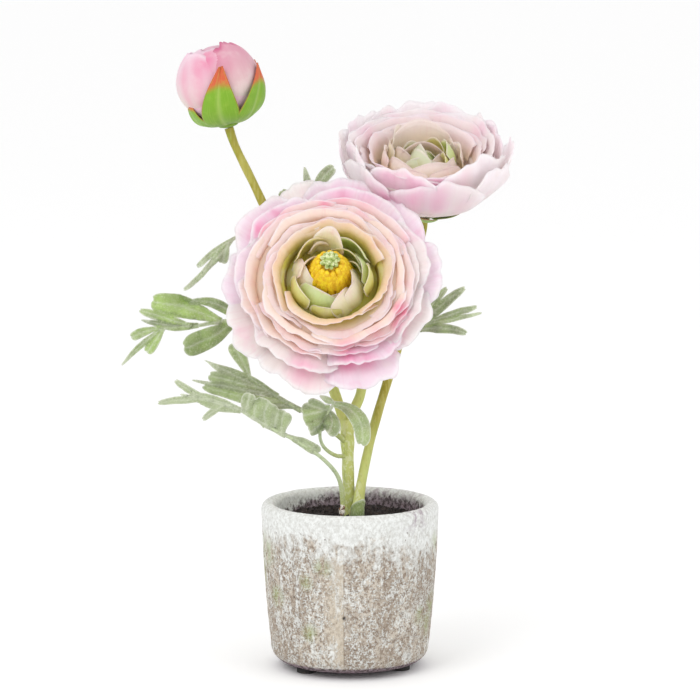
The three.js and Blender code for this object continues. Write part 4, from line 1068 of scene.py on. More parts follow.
def cloth_sheet(grid, u, v, thick, rim, tints, draw):
    """A thin sheet with the colours of its two faces, its flat coordinates and its own draw."""
    points, faces = sheet_mesh(grid, thick, rim)
    flat = np.stack([u * 0.5 + 0.5, v], axis=2).reshape(-1, 2)
    return points, faces, {
        "tint": np.vstack([tint.reshape(-1, 4) for tint in tints]), "uv": np.vstack([flat, flat]),
        "draw": np.full(len(points), draw)}


def petal_mesh(turn, spread, profile, form, finish, layer, shift, spots=()):
    """One petal of a layer. It follows the profile round the axis, lies over one neighbour and under
    the other, droops at its sides, and its rim is waved, uneven and turned outwards."""
    u, v = np.meshgrid(np.linspace(-1, 1, form["columns"]), np.linspace(form["start"], 1, form["rows"]))
    angle = math.radians(turn) + u * math.radians(spread / 2)
    uneven = np.array([noise.noise(Vector((k * form["lobes"], shift, 0))) for k in u[0]])
    dent = form.get("dent", 0) * np.exp(-((u - math.sin(shift)) / 0.16) ** 2)
    reach = v * (1 - form["round"] * np.abs(u) ** 2.6 + form["fringe"] * uneven[None, :] - dent)
    radius, height, out, up = profile_at(profile, reach)
    wave = form["wave"] * swell(angle[0], form["waves"], layer)[None, :] * v ** 2
    frill = form["frill"] * swell(angle[0], form["waves"] * 3.3, layer + 5)[None, :] * v ** 4
    own = form.get("own", 0) * np.sin(3.6 * u + shift * 7) * v ** 3
    offset = form["lap"] * u + wave + frill + own + form["arch"] * u * u * v * v
    offset += form["curl"] * smoothstep(v, 0.6, 1) ** 2
    around = radius + offset * out
    height = height + offset * up + form.get("tilt", 0) * np.sin(angle) * smoothstep(v, 0.1, 1)
    grid = np.stack([around * np.cos(angle), around * np.sin(angle), height], axis=2)
    hot = np.zeros_like(u)
    for spot_turn, spot_radius, size, strength in spots:
        way = math.radians(spot_turn)
        place = np.array([math.cos(way), math.sin(way)]) * spot_radius
        away = np.linalg.norm(grid[..., :2] - place, axis=2)
        hot = np.maximum(hot, strength * np.exp(-(away / size) ** 2))
    return cloth_sheet(grid, u, v, PETAL_THICK, PETAL_RIM, petal_tint(u, v, finish, hot), shift)


def petal_material(name, glow, dye=1.0):
    """Thin dyed cloth: the tint of each point, fine veins along the petal, and light let through."""
    skin = Skin(name)
    flat = add_node(skin.tree, "ShaderNodeUVMap", uv_map="uv").outputs["UV"]
    draw = add_node(skin.tree, "ShaderNodeAttribute", attribute_name="draw").outputs["Fac"]
    veins = add_node(skin.tree, "ShaderNodeTexNoise", {
        "Vector": skin.stretched(flat, (30, 2.0, 1)), "W": draw, "Scale": 1.0, "Detail": 3.0,
        "Roughness": 0.6}, noise_dimensions="4D").outputs["Fac"]
    cloud = skin.noise(80, 4, 0.55)
    weave = skin.noise(2600, 2, 0.6)
    tint = skin.painted(skin.kept_tint(), ((252, 244, 240), skin.step(cloud, 0.48, 0.68), 0.3))
    for shade, pattern, low, high, share in (
            ((252, 228, 240), cloud, 0.47, 0.3, 0.5), ((246, 220, 228), veins, 0.5, 0.68, 0.24)):
        amount = skin.times(skin.step(pattern, low, high), share * dye)
        tint = skin.mixed(amount, tint, colour(*shade), "MULTIPLY")
    relief = skin.weighed((veins, 1), (weave, 0.25))
    material = skin.covered(tint, 0.6, relief, 0.4, 0.0004, Specular_IOR_Level=0.25, Sheen_Weight=0.1)
    through = add_node(skin.tree, "ShaderNodeBsdfTranslucent", {"Color": tint})
    both = add_node(skin.tree, "ShaderNodeMixShader", {0: glow, 1: skin.shader, 2: through})
    skin.tree.links.new(both.outputs["Shader"], skin.tree.nodes["Material Output"].inputs["Surface"])
    return material


def cloth(outer_low, outer_high, root, inner_low, inner_high, rim, hot, **more):
    """A petal's colours: low and high on its outer and inner face, at its root, rim and spots."""
    shades = {"outer_low": outer_low, "outer_high": outer_high, "root": root, "inner_low": inner_low,
              "inner_high": inner_high, "rim": rim, "hot": hot}
    return {label: colour(*shade) for label, shade in shades.items()} | more


LAVENDER = cloth((246, 234, 236), (246, 232, 240), (246, 232, 220), (252, 240, 236), (250, 236, 245),
                 (253, 249, 252), (252, 166, 208))
IVORY = cloth((248, 242, 240), (248, 240, 242), (246, 238, 222), (252, 242, 232), (250, 244, 242),
              (252, 250, 250), (252, 176, 212))
PEACH = cloth((253, 232, 226), (253, 236, 238), (253, 222, 190), (253, 228, 202), (254, 242, 232),
              (255, 250, 252), (252, 140, 186))
ROSE = cloth((253, 234, 232), (253, 236, 242), (253, 230, 210), (253, 232, 216), (254, 240, 236),
             (255, 248, 252), (252, 140, 186))
APRICOT = cloth((252, 228, 206), (252, 232, 226), (208, 198, 88), (230, 212, 112), (252, 230, 202),
                (255, 246, 244), (252, 176, 186), root_end=1.0)

# Of each petal of the outer layers: the way it points, its width in degrees, its reach and height,
# and its cloth. Of each pink spot: the way and the distance from the axis, its size and strength.
FRONT_OUTER = [
    (106, 34, 61.5, 9, IVORY), (84, 50, 59, 12.5, LAVENDER), (52, 62, 57, 14, LAVENDER),
    (11, 44, 56, 13.5, LAVENDER), (-27, 58, 51, 15, IVORY), (-71, 50, 57, 12, LAVENDER),
    (-111, 54, 57.5, 12, IVORY), (-150, 46, 55.5, 13, IVORY), (178, 54, 53, 14.5, LAVENDER),
    (134, 46, 58, 13, LAVENDER)]
FRONT_SECOND = [
    (72, 70, 51.5, 18.5, LAVENDER), (22, 66, 48.5, 18.5, IVORY), (-24, 56, 46, 19, IVORY),
    (-64, 58, 47.5, 17.5, LAVENDER), (-118, 64, 49.5, 17.5, IVORY), (-164, 50, 46, 18, PEACH),
    (168, 58, 47.5, 17.5, LAVENDER), (128, 50, 50, 18.5, LAVENDER)]
FRONT_THIRD = [
    (182, 84, 42.5, 20.5, PEACH), (118, 62, 44, 20.5, ROSE), (62, 66, 44.5, 20.5, ROSE),
    (8, 64, 42.5, 20, IVORY), (-42, 62, 41, 20.5, ROSE), (-84, 56, 41, 19.5, LAVENDER),
    (-128, 62, 42, 20, PEACH)]
FRONT_SPOTS = [
    (141, 47, 4.5, 1.0), (127, 46.5, 4, 0.6), (-28, 38.5, 4, 1.0), (-37, 41, 3.5, 0.8),
    (-79, 41.5, 5.5, 1.0), (-68, 44, 5, 0.7), (84, 47, 6, 0.6), (68, 48, 6, 0.4), (-106, 49, 7, 0.65),
    (95, 41, 3, 0.8), (72, 57, 7, 0.25), (-46, 47, 5, 0.35), (34, 47, 5, 0.2), (-55, 37, 4, 0.3),
    (-150, 49, 5, 0.2)]


def petal_ring(rows, corners_at, form, layer, draw, spots):
    """One layer of petals. Its profile follows from the reach and height of each."""
    return [petal_mesh(turn, spread, corners_at(radius, height), form, finish, layer,
                       draw.random() * 50, spots)
            for turn, spread, radius, height, finish in rows]


def front_petal_meshes(draw):
    """The petals of the front flower, from the outermost layer to the innermost."""
    wide = {"columns": 36, "rows": 24, "start": 0.07, "lobes": 2.6, "round": 0.17, "fringe": 0.07,
            "wave": 3.8, "waves": 4.2, "frill": 2.2, "lap": 0.9, "arch": 1.6, "curl": 1.4, "own": 1.0}
    second = dict(wide, wave=2.8, arch=1.2, curl=1.2, start=0.3, lap=0.8, dent=0.03)
    third = dict(wide, rows=20, wave=2.2, arch=0.8, curl=1.0, start=0.2, lap=1.1, dent=0.06, frill=0.8)
    upright = dict(wide, rows=18, start=0, wave=2.8, waves=2.8, frill=1.1, lap=1.6, arch=0.3, curl=2.4,
                   round=0.22, fringe=0.14, lobes=3.4, dent=0.16, own=1.3)
    made = petal_ring(FRONT_OUTER, lambda radius, height: [
        (5, 2.2), (24, 3.2), (radius - 15, 8), (radius, height)], wide, 0, draw, FRONT_SPOTS)
    made += petal_ring(FRONT_SECOND, lambda radius, height: [
        (10, 4.5), (28, 9.8), (radius - 9, 14), (radius, height)], second, 1, draw, FRONT_SPOTS)
    made += petal_ring(FRONT_THIRD, lambda radius, height: [
        (radius - 9, 13), (radius - 6, 15), (radius - 2.5, height - 2), (radius, height)],
        third, 2, draw, FRONT_SPOTS)
    layers = [
        (38.2, 22.5, (64, 120, 2, -58, -116), 74, ROSE), (34.8, 24.6, (24, 96, -48, -128), 96, PEACH),
        (30.8, 26.0, (20, 112, 196, 288), 108, ROSE), (26.6, 26.6, (75, 160, 260, -10), 112, APRICOT)]
    for layer, (radius, height, turns, width, finish) in enumerate(layers):
        for turn in turns:
            turn += 20 * (draw.random() - 0.5)
            rise = height + 2.6 * (draw.random() - 0.5)
            reach = radius + 1.6 * (draw.random() - 0.5)
            spread = width * (1 + 0.24 * draw.random())
            made += petal_ring([(turn, spread, reach, rise, finish)], lambda reach, rise: [
                (reach - 3.2, 16.4), (reach - 2.9, 19), (reach - 1.9, rise - 3), (reach, rise)],
                upright, 3 + layer, draw, FRONT_SPOTS)
    return made


def core_mesh(profile, tint, sides=96):
    """A solid middle. Its colour is one, or one for each point of its profile but the two ends."""
    points, faces = revolve(profile, sides)
    if np.ndim(tint) > 1:
        tints = np.vstack([tint[:1], np.repeat(tint, sides, axis=0), tint[-1:]])
    else:
        tints = np.tile(tint, (len(points), 1))
    return points, faces, {"tint": tints, "uv": points[:, :2] * 0.01, "draw": np.zeros(len(points))}


def flower_part(name, parts, place, material, slot, node):
    """The parts of a flower as one piece, moved from the flower's own frame to its seat."""
    points, faces, values = shared(parts)
    piece = new_piece(name, in_place(placed(points, *place)), faces, material, values)
    on_part(piece, slot, node)


BOWL_OLIVE = colour(222, 212, 100)
CREST_PEACH = colour(253, 228, 206)
front_core = core_mesh(
    [(0, 0), (9, 0), (16, 5), (34, 12.5), (37.5, 16.5), (36, 18.8), (30, 21.6), (FRONT_BOWL + 0.8, 21.6),
     (FRONT_BOWL, 20.6), (FRONT_BOWL, FRONT_FLOOR), (0, FRONT_FLOOR)],
    np.array([CREST_PEACH] * 6 + [BOWL_OLIVE] * 3))
flower_part("front_flower_petals", [front_core] + front_petal_meshes(random.Random(29)), FRONT,
            petal_material("front_petal_cloth", 0.45, 0.75), "front_petal", "front_petals")

# Front flower's heart
# Eighteen small cupped petals that stand round the stamens, pale green and cream inside a white
# rim. They are glued to a thin plate on the floor of the bowl.
HEART_PLATE = 1.8
CUP_WIDEN = 1.3
CUP_LENGTHEN = 1.1
CUP_RIM = colour(250, 240, 236)

# Of each cup: the way and the distance from the axis, its length and width, how far it leans out
# and curls, how far it is turned aside, and its colours, which are low, high and at its back.
FRONT_HEART = [
    (96, 16, 19, 13, 15, -8, -30, "cream"), (60, 20, 14, 19, 8, -30, 0, "green"),
    (54, 16, 12, 15, 6, -34, 5, "green"), (14, 19, 13, 14, -4, -30, 0, "green"),
    (28, 14.8, 10, 8, 4, -35, 20, "green"), (-6, 20.5, 14, 13, 0, -20, 0, "olive"),
    (-14, 15.8, 14, 12, -16, -16, 15, "cream"), (-40, 18.6, 14, 12, -16, -20, 10, "cream"),
    (-62, 19.4, 15, 12, -20, -14, 26, "cream"), (-82, 15.6, 9.5, 13, -20, -20, 10, "cream"),
    (-120, 18.8, 13, 17, -20, -30, 0, "green"), (184, 18.8, 13, 14, -22, -24, 20, "cream"),
    (204, 15, 11, 12, -18, -24, 20, "cream"), (152, 16, 13, 14, -2, -26, -15, "cream"),
    (126, 20.6, 14, 16, 6, -26, 0, "olive"), (112, 18.5, 10, 9, 4, -20, 0, "cream"),
    (-152, 21, 12, 14, 0, -30, 0, "olive"), (-98, 21, 10, 13, 0, -26, 0, "olive")]
CUP_FINISH = {
    "olive": (colour(232, 222, 112), colour(246, 242, 184), colour(236, 236, 168)),
    "green": (colour(222, 232, 136), colour(242, 248, 206), colour(226, 238, 184)),
    "cream": (colour(250, 247, 202), colour(255, 251, 240), colour(254, 247, 232))}


def cupped_petal(angle, distance, length, width, lean, cup, turn, finish, base):
    """One small cup that stands by itself, with a pale curled rim."""
    u, v = np.meshgrid(np.linspace(-1, 1, 23), np.linspace(0, 1, 17))
    width, length = width * CUP_WIDEN, length * CUP_LENGTHEN
    out = np.array([math.cos(math.radians(angle)), math.sin(math.radians(angle)), 0])
    facing_angle = math.radians(angle + turn)
    facing = np.array([math.cos(facing_angle), math.sin(facing_angle), 0])
    side = np.array([-facing[1], facing[0], 0])
    outline = 0.45 + 0.55 * np.sin(math.pi * np.minimum(1, 0.15 + 0.6 * v))
    reach = length * v * (1 - 0.3 * u * u)
    bend = math.radians(lean) + math.radians(cup) * (v - 0.4)
    across = width / 2 * outline * u
    curl = width / 2 * 0.42 * u * u * outline
    roll = 1.2 * smoothstep(np.maximum(v, np.abs(u)), 0.8, 1) ** 2
    forward = np.sin(bend) * reach - curl + roll
    grid = out * distance + facing * forward[..., None] + side * across[..., None]
    grid[..., 2] += base + np.cos(bend) * reach
    low, high, back = CUP_FINISH[finish]
    rim = smoothstep(np.maximum(v, np.abs(u)), 0.86, 1)
    faded = smoothstep(v, 0.2, 0.9)
    outer = blend(rim * 0.8, blend(faded, low, back), CUP_RIM)
    inner = blend(rim * 0.9, blend(faded, low, high), CUP_RIM)
    return cloth_sheet(grid, u, v, PETAL_THICK, PETAL_RIM, (outer, inner), angle * 0.13)


def heart_parts(cups, floor, radius, tint):
    """A thin round plate on the floor of a bowl, and the cups that are glued to it."""
    base = floor + SOIL_GAP
    top = base + HEART_PLATE
    plate = core_mesh([(0, base), (radius, base), (radius, top), (0, top)], tint)
    return [plate] + [cupped_petal(*cup, base + HEART_PLATE / 2) for cup in cups]


flower_part("front_flower_heart",
            heart_parts(FRONT_HEART, FRONT_FLOOR, FRONT_BOWL - 1, colour(222, 216, 100)), FRONT,
            petal_material("front_heart_cloth", 0.4), "front_heart", "front_heart")

# Stamens
# Thick yellow clubs packed over a dome in the middle of the front flower, leaning in to the
# pistil. They are moulded with their dome, which is painted a darker orange-brown as the shade
# between them.
STAMEN_BASE = FRONT_FLOOR + 2 * SOIL_GAP + HEART_PLATE
STAMENS = (tuple(placed([(-0.8, 1.8, 0)], *FRONT)[0]), FRONT[1])
DOME_TOP = 17
# Of each ring of clubs: how many they are, its radius and height, and their length and lean.
STAMEN_ROWS = [
    (20, 12.0, 0.3, 14.0, -21), (19, 11.2, 3.0, 13.6, -24), (16, 9.8, 6.4, 11.6, -25),
    (13, 8.2, 10.6, 8.0, -24)]

skin = Skin("yellow_stamen")
cloud = skin.noise(420, 4, 0.6)
grain = skin.noise(2600, 2, 0.6)
tint = skin.mixed(skin.step(cloud, 0.38, 0.66), colour(224, 172, 8), colour(244, 214, 20))
tint = skin.painted(tint, ((246, 230, 90), skin.step(grain, 0.5, 0.7), 0.5))
pollen = skin.covered(tint, 0.6, grain, 0.6, 0.0003)


def club_base(name, rows, start, place):
    """The foot of each club, with the way it stands and its length kept at its point."""
    draw = random.Random(11)
    feet, ways, sizes = [], [], []
    for k, (count, radius, height, length, lean) in enumerate(rows):
        for i in range(count):
            turn = (i + 0.37 * k + 0.25 * draw.random()) / count * 2 * math.pi
            tilt = math.radians(lean + 4 * (draw.random() - 0.5))
            feet.append((radius * math.cos(turn), radius * math.sin(turn), start + height))
            aside = math.sin(tilt)
            ways.append((aside * math.cos(turn), aside * math.sin(turn), math.cos(tilt)))
            sizes.append(length * (0.92 + 0.12 * draw.random()) * MM)
    base = bpy.data.meshes.new(name)
    base.from_pydata(in_place(placed(feet, *place)).tolist(), [], [])
    ways = placed(ways, (0, 0, 0), place[1])
    base.attributes.new("way", "FLOAT_VECTOR", "POINT").data.foreach_set("vector", ways.ravel())
    base.attributes.new("length", "FLOAT", "POINT").data.foreach_set("value", sizes)
    return base


def club_nodes(tree, start):
    """A blunt club on each point of the base, along its way and as long as the point says."""
    line = add_node(tree, "GeometryNodeCurvePrimitiveLine", {"End": (0, 0, 1)})
    steps = add_node(tree, "GeometryNodeResampleCurve", {"Curve": line, "Count": 9})
    along = add_node(tree, "GeometryNodeSplineParameter").outputs["Factor"]
    shape = add_node(tree, "ShaderNodeFloatCurve", {"Value": along})
    corners = shape.mapping.curves[0].points
    corners[0].location = (0, 0.85)
    corners[1].location = (1, 0.2)
    for place in ((0.3, 0.92), (0.75, 1.0), (0.93, 0.78)):
        corners.new(*place)
    shape.mapping.update()
    thick = add_node(
        tree, "ShaderNodeMath", {0: shape, 1: start["Thickness"]}, operation="MULTIPLY")
    ring = add_node(tree, "GeometryNodeCurvePrimitiveCircle", {"Resolution": 10, "Radius": 1.0})
    club = add_node(tree, "GeometryNodeCurveToMesh", {
        "Curve": steps, "Profile Curve": ring, "Scale": thick, "Fill Caps": True})
    way = add_node(tree, "GeometryNodeInputNamedAttribute", {"Name": "way"}, data_type="FLOAT_VECTOR")
    length = add_node(tree, "GeometryNodeInputNamedAttribute", {"Name": "length"}, data_type="FLOAT")
    scale = add_node(tree, "ShaderNodeCombineXYZ", {"X": start["Width"], "Y": start["Width"], "Z": length})
    return add_node(tree, "GeometryNodeInstanceOnPoints", {
        "Points": start["Geometry"], "Instance": club, "Scale": scale,
        "Rotation": add_node(tree, "FunctionNodeAlignRotationToVector", {"Vector": way}, axis="Z")})


club_sizes = {"Thickness": 1.0, "Width": 1.45 * MM}
feet = club_base("stamen_feet", STAMEN_ROWS, STAMEN_BASE, STAMENS)
on_part(grown("stamens", club_nodes, feet, club_sizes, pollen), "stamen", "front_stamens")
# Painted shade: the dome is a darker orange-brown that stands for the shade between the clubs.
dome_shade_skin = two_tone("stamen_dome", (600, 3), 0.4, 0.6, (176, 132, 14), (206, 160, 22), 0.8)
dome = revolve([
    (0, STAMEN_BASE), (11, STAMEN_BASE), (10.4, STAMEN_BASE + 3), (8.6, STAMEN_BASE + 9),
    (6.6, STAMEN_BASE + 14), (4.2, STAMEN_BASE + DOME_TOP), (0, STAMEN_BASE + DOME_TOP)], 60)
flower_part("stamen_dome", [(*dome, {})], STAMENS, dome_shade_skin, "stamen", "front_stamens")

# Pistil
# A small button of pale green knobs in the middle of the stamens, a few millimetres across. It is
# moulded in one with its foot, which is glued on top of the stamens' dome.
PISTIL_BASE = STAMEN_BASE + DOME_TOP + SOIL_GAP
PISTIL_ROWS = [
    (9, 3.0, 0.2, 3.2, 26), (8, 2.5, 1.8, 3.0, 16), (5, 1.5, 2.8, 2.6, 6), (2, 0.6, 3.4, 2.2, 0)]

pistil_skin = two_tone(
    "pale_pistil", (500, 3), 0.4, 0.6, (160, 178, 96), (220, 226, 176), 0.6, 0.4, 0.0003)
knob_sizes = {"Thickness": 1.0, "Width": 1.05 * MM}
feet = club_base("pistil_feet", PISTIL_ROWS, PISTIL_BASE, STAMENS)
on_part(grown("pistil_knobs", club_nodes, feet, knob_sizes, pistil_skin), "pistil", "front_pistil")
button = revolve([
    (0, PISTIL_BASE), (2.9, PISTIL_BASE), (3.3, PISTIL_BASE + 1.8), (2.4, PISTIL_BASE + 3.8),
    (0, PISTIL_BASE + 4.4)], 40)
flower_part("pistil_button", [(*button, {})], STAMENS, pistil_skin, "pistil", "front_pistil")

# Sepals of the open flowers
# A green cap on the end of each stem, with five pointed cloth sepals that lie under the petals.
# The tips of those of the right flower are tinged red-brown.
SEPAL_CAP = 3
SEPAL_THICK = 0.55
SEPAL_RIM = 0.25
SEPAL_VEIN = colour(186, 204, 120)
OPEN_SEPAL = (colour(150, 178, 74), colour(128, 162, 52), colour(150, 92, 62))

skin = Skin("green_sepal")
flat = add_node(skin.tree, "ShaderNodeUVMap", uv_map="uv").outputs["UV"]
lines = add_node(skin.tree, "ShaderNodeTexNoise", {
    "Vector": skin.stretched(flat, (26, 1.6, 1)), "Scale": 1.0, "Detail": 3.0}).outputs["Fac"]
cloud = skin.noise(260, 4, 0.6)
tint = skin.painted(
    skin.kept_tint(), ((150, 182, 60), skin.step(cloud, 0.48, 0.68), 0.25),
    ((160, 188, 74), skin.step(lines, 0.52, 0.66), 0.28))
sepal_cloth = skin.covered(tint, 0.66, lines, 0.5, 0.0004, Sheen_Weight=0.15)


def sepal_mesh(profile, spread, turn, width, shades, tip_share, tip_from=(0.84, 0.97), bend=0.0):
    """One sepal on a profile round the axis: wide at its foot and narrow at its tinged tip. Its
    width follows from how far along it is, and its shades are low, high and at its tip."""
    u, v = np.meshgrid(np.linspace(-1, 1, 21), np.linspace(0.0, 1, 31))
    wide = u * width(v)
    low, high, tip = shades
    angle = math.radians(turn) + wide * math.radians(spread / 2) + math.radians(bend) * v ** 3
    radius, height, out, up = profile_at(profile, v * (1 - 0.12 * np.abs(wide) ** 3))
    keel = -0.5 * np.exp(-(u / 0.16) ** 2) * smoothstep(v, 0.05, 0.3) + 0.3 * np.sin(9 * v + 3 * u + turn)
    around = radius + keel * out
    grid = np.stack([around * np.cos(angle), around * np.sin(angle), height + keel * up], axis=2)
    tint = blend(smoothstep(v, 0, 0.5), low, high)
    tint = blend(0.35 * np.exp(-(u / 0.12) ** 2), tint, SEPAL_VEIN)
    tint = blend(0.4 * tip_share * smoothstep(np.abs(u), 0.9, 1.0) * smoothstep(v, 0.2, 0.5), tint, tip)
    tint = blend(tip_share * smoothstep(v + 0.04 * np.abs(u), *tip_from), tint, tip)
    return cloth_sheet(grid, u, v, SEPAL_THICK, SEPAL_RIM, (tint, tint), 0.0)


def leaf_like(v):
    """The width of an open flower's sepal from its foot to its tip."""
    return 0.3 + 0.7 * np.sin(math.pi * np.minimum(0.97, 0.15 + 0.85 * v))


def cap_mesh(corners, shades):
    """The green cap that ends a stem just under its flower."""
    foot = -SOIL_GAP - SEPAL_CAP
    return core_mesh([(0, foot), (corners[0][0], foot)] + [(r, -SOIL_GAP - h) for r, h in corners[1:]]
                     + [(0, -SOIL_GAP - corners[-1][1])], shades[0])


for name, profile, spread, start, tip_share, place, node in (
        ("front_flower_sepals", [(4, -1.6), (11, -2), (17, -0.6), (21, 0.4)], 62, 20, 0.3, FRONT,
         "front_sepals"),
        ("right_flower_sepals", [(4, -1.6), (12, -1), (19, 2.2), (24.5, 6.6)], 66, -22, 0.9, SIDE,
         "side_sepals")):
    cap = cap_mesh([(3.2, 0), (5.0, 1.9), (6.2, 0.8), (6.2, 0)], OPEN_SEPAL)
    sepals = [sepal_mesh(profile, spread, start + i * 72, leaf_like, OPEN_SEPAL, tip_share)
              for i in range(5)]
    flower_part(name, [cap] + sepals, place, sepal_cloth, "sepal", node)

# Right flower's petals
# A cup of thin, almost see-through pale petals, glued to a core in five layers round a closed
# heart. It looks up and a little forwards, and its front rim dips, so that the heart shows.
SIDE_FLOOR = 21
SIDE_BOWL = 24
SIDE_CREST = 27
MIST = cloth((254, 250, 249), (254, 249, 252), (250, 246, 230), (254, 242, 236), (255, 251, 251),
             (255, 253, 254), (253, 196, 224))
BLUSH = cloth((254, 244, 246), (254, 242, 248), (250, 240, 216), (254, 237, 230), (254, 246, 245),
              (255, 249, 252), (252, 180, 212))

# The petals and spots have the same measures as those of the front flower.
SIDE_OUTER = [
    (96, 74, 39.5, 43, MIST), (44, 58, 40, 41.5, MIST), (2, 46, 42.5, 38, MIST), (-34, 46, 41, 33.5, MIST),
    (-84, 78, 39, 32, MIST), (-146, 60, 39.5, 36, MIST), (172, 46, 40.5, 41, MIST),
    (140, 50, 40, 42.5, MIST)]
SIDE_SECOND = [
    (72, 66, 38.5, 43, MIST), (16, 58, 38.5, 41, BLUSH), (-44, 72, 37.5, 40, MIST),
    (-112, 60, 37, 37.5, MIST), (-160, 60, 38, 42, MIST), (124, 60, 38.4, 42.5, MIST)]
SIDE_SPOTS = [
    (-118, 40, 8, 0.75), (-98, 39, 7, 0.65), (-80, 38, 6, 0.6), (-60, 36, 5, 0.3), (30, 34, 5, 0.4),
    (150, 34, 5, 0.3), (115, 38, 6, 0.25), (78, 36, 5, 0.25)]


def side_petal_meshes(draw):
    """The petals of the right flower, from the outermost layer to the innermost."""
    wide = {"columns": 36, "rows": 28, "start": 0.06, "lobes": 2.8, "round": 0.16, "fringe": 0.06,
            "wave": 3.0, "waves": 3.0, "frill": 1.5, "lap": 1.0, "arch": 0.6, "curl": 2.0, "own": 0.9}
    second = dict(wide, rows=22, start=0.3, curl=1.2, dent=0.06, wave=2.6, lap=1.4)
    upright = dict(wide, rows=20, start=0, wave=2.2, frill=1.0, lap=1.3, arch=0.3, curl=1.6, fringe=0.1,
                   dent=0.12, own=1.0)
    made = petal_ring(SIDE_OUTER, lambda radius, height: [
        (5, 2.2), (26, 5.6), (radius + 1.5, height * 0.43), (radius, height)], wide, 0, draw, SIDE_SPOTS)
    made += petal_ring(SIDE_SECOND, lambda radius, height: [
        (22, 8), (36, 12), (radius + 0.5, 25), (radius - 0.5, height)], second, 1, draw, SIDE_SPOTS)
    layers = [(35, 38.8, 5, 20, MIST, 3.4), (31.6, 36.8, 4, -45, BLUSH, 4.0), (28, 36, 3, 90, BLUSH, 4.0)]
    for layer, (radius, height, count, start, finish, tilt) in enumerate(layers):
        for i in range(count):
            turn = start + 360 * i / count + 18 * (draw.random() - 0.5)
            rise = height + 3 * (draw.random() - 0.5)
            spread = 360 / count * (1.2 + 0.2 * draw.random())
            made += petal_ring([(turn, spread, radius, rise, finish)], lambda radius, rise: [
                (radius - 4, SIDE_CREST - 2), (radius - 2, 29), (radius - 0.5, 33), (radius, rise)],
                dict(upright, tilt=tilt), 2 + layer, draw, SIDE_SPOTS)
    return made


side_core = core_mesh(
    [(0, 0), (9, 0), (17, 5), (33, 18), (36, SIDE_CREST - 0.5), (SIDE_BOWL, SIDE_CREST),
     (SIDE_BOWL, SIDE_FLOOR), (0, SIDE_FLOOR)], colour(254, 245, 238))
flower_part("right_flower_petals", [side_core] + side_petal_meshes(random.Random(47)), SIDE,
            petal_material("right_petal_cloth", 0.5, 0.4), "side_petal", "side_petals")

# Right flower's heart
# Twenty-three closed or half open petals, olive and grey-green with pink rims, folded over the
# middle of the cup. Wide and pale ones stand at the back. Their rows say what the front flower's say.
SIDE_HEART = [
    (136, 20, 19, 12, 2, -14, 10, "cream"), (158, 19, 14, 10, 4, -14, 30, "cream"),
    (98, 18, 21, 26, 0, -14, 0, "peach"), (46, 13, 16, 13, 4, -40, 0, "olive"),
    (12, 16, 16, 14, 2, -36, 0, "green"), (-22, 14, 13, 8, 0, -30, 40, "olive"),
    (84, 5.5, 16, 19, 6, -44, 0, "mauve"), (60, 2.5, 13, 11, 6, -50, 20, "green"),
    (188, 6, 15, 14, 6, -44, 10, "grey"), (236, 9, 14, 14, 6, -40, -20, "grey"),
    (300, 6, 12, 12, 4, -40, 10, "green"), (176, 13, 12, 13, 6, -30, 40, "mauve"),
    (216, 18, 11, 16, 4, -24, 0, "peach"), (286, 18, 11, 18, 2, -26, 0, "peach"),
    (332, 17, 10, 12, 4, -26, 0, "peach"), (262, 11, 11, 14, 4, -36, 0, "grey"),
    (330, 11, 11, 12, 4, -36, 0, "mauve"), (130, 14, 13, 12, 4, -36, 0, "grey"),
    (22, 20.5, 12, 15, 4, -22, 0, "peach"), (58, 20.5, 14, 15, 2, -18, 0, "peach"),
    (178, 21, 13, 14, 4, -20, 0, "peach"), (246, 21.2, 9, 16, 4, -24, 0, "peach"),
    (306, 21.2, 9, 16, 4, -24, 0, "peach")]
CUP_FINISH["grey"] = (colour(228, 226, 160), colour(244, 244, 222), colour(234, 238, 214))
CUP_FINISH["mauve"] = (colour(232, 226, 164), colour(246, 230, 224), colour(236, 218, 208))
CUP_FINISH["peach"] = (colour(253, 240, 220), colour(255, 247, 243), colour(254, 243, 240))
flower_part("right_flower_heart",
            heart_parts(SIDE_HEART, SIDE_FLOOR, SIDE_BOWL - 1, colour(250, 236, 204)), SIDE,
            petal_material("right_heart_cloth", 0.4, 0.5), "side_heart", "side_heart")

# Bud
# An egg of pink petals wrapped over each other, with a pale foot and deep pink creases. It is
# glued into five green sepals whose tips are red-orange.
BUD_EGG = [(3, 0.6), (26.3, 0), (22.8, 33.6), (2.5, 38)]
BUD_PALE = cloth((244, 234, 228), (246, 222, 232), (240, 236, 222), (248, 206, 222), (250, 222, 234),
                 (250, 232, 242), (240, 128, 174))
BUD_DEEP = cloth((240, 218, 214), (232, 172, 192), (238, 230, 216), (240, 168, 196), (240, 168, 196),
                 (214, 98, 146), (226, 120, 158), side_rim=1.0)
BUD_SEPAL = (colour(100, 138, 14), colour(116, 162, 20), colour(206, 78, 50))

# Of each petal: the way it points, its width in degrees, its outline from root to rim, how far it
# leans out on one side, how far its sides sink in, and its cloth.
BUD_WRAPS = [
    (-164, 166, [(4, 4), (22, 4), (28.6, 24), (12.5, 37)], -0.3, -4.2, BUD_PALE),
    (-45, 98, [(4, 4), (24, 3), (25.8, 31), (7.5, 39)], 0.2, -0.8, BUD_DEEP),
    (52, 120, [(4, 4), (24, 3), (26.4, 31), (9, 37)], 0.3, -1.0, BUD_PALE),
    (130, 120, [(4, 4), (24, 3), (25.2, 31), (8, 36.6)], 0.4, -1.6, BUD_PALE),
    (-100, 120, [(4, 4), (23, 3), (24, 32), (8, 36.6)], 0.4, -1.0, BUD_PALE),
    (20, 140, [(4, 4), (23, 3), (24, 32), (7, 37)], 0.4, -0.6, BUD_PALE),
    (-160, 140, [(4, 4), (22, 4), (25, 31), (7, 37)], 0.2, -1.0, BUD_PALE)]
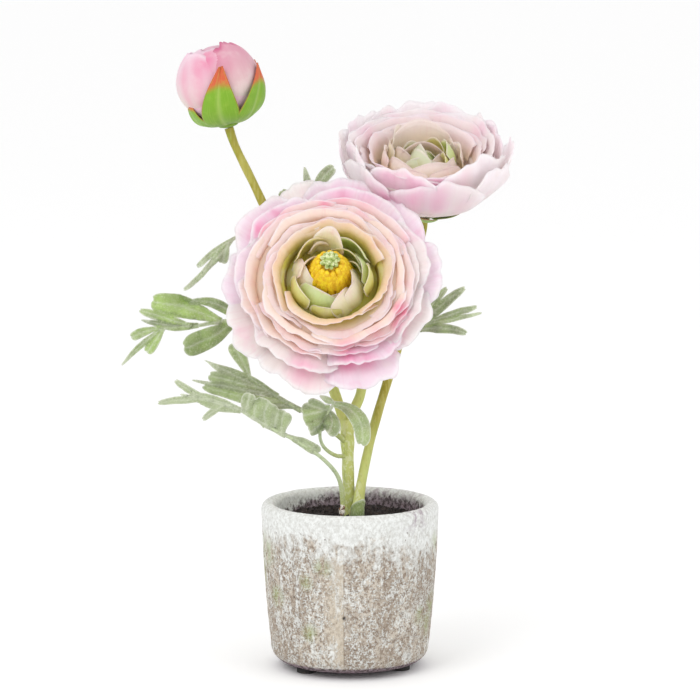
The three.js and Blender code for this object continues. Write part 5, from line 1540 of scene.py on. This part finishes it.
BUD_SPOTS = [
    (-103, 14, 6, 1.0), (-117, 18, 5, 0.7), (-142, 20.5, 3.6, 0.45), (-128, 20, 4, 0.3), (20, 12, 5, 0.5)]
radius, height, out, up = profile_at(BUD_EGG, np.linspace(0, 1, 40))
bud_parts = [core_mesh([(0, 0.6)] + list(zip(radius, height)) + [(0, 38)], colour(246, 204, 220))]
draw = random.Random(5)
wrap_form = {"columns": 48, "rows": 36, "start": 0.0, "lobes": 3.0, "fringe": 0.035, "wave": 0.5,
             "waves": 1.6, "frill": 0.5, "curl": 0.3, "round": 0.1, "dent": 0.02}
for layer, (turn, spread, profile, lap, sink, finish) in enumerate(BUD_WRAPS):
    form = dict(wrap_form, lap=lap, arch=sink)
    bud_parts.append(petal_mesh(turn, spread, profile, form, finish, layer, draw.random() * 50, BUD_SPOTS))
flower_part("bud_petals_wrapped", bud_parts, BUD, petal_material("bud_petal_cloth", 0.3, 0.7),
            "bud_petal", "bud_petals")


def blunt(v):
    """The width of a bud's sepal from its foot to its tip."""
    return np.maximum(0.07, 1 - 0.93 * (np.maximum(0, v - 0.1) / 0.9) ** 1.5)


# Of each sepal: the way it points, how far its tip turns aside, its width in degrees, and the reach
# and height of its tip.
bud_parts = [cap_mesh([(2.4, 0), (4.4, 2.4), (5.5, 1.6), (5.5, 0.5)], BUD_SEPAL)]
for turn, bend, spread, tip_radius, tip_height in (
        (-98, 16, 80, 20.9, 28.5), (-38, 24, 80, 21.2, 26), (-164, 8, 88, 18.6, 14.5),
        (98, -6, 84, 20, 26), (30, -6, 80, 20.6, 27)):
    waist = (tip_radius + 0.32 * (tip_height - 15), 0.42 * tip_height)
    profile = [(3, -1.5), (16 + 0.16 * tip_height, -1.5), waist, (tip_radius, tip_height)]
    bud_parts.append(sepal_mesh(profile, spread, turn, blunt, BUD_SEPAL, 0.95, (0.76, 0.87), bend))
flower_part("bud_sepals_green", bud_parts, BUD, sepal_cloth, "bud_sepal", "bud_sepals")

size = {"cad": [list(cad_low), list(cad_high)], "visual": [list(v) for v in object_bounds()]}
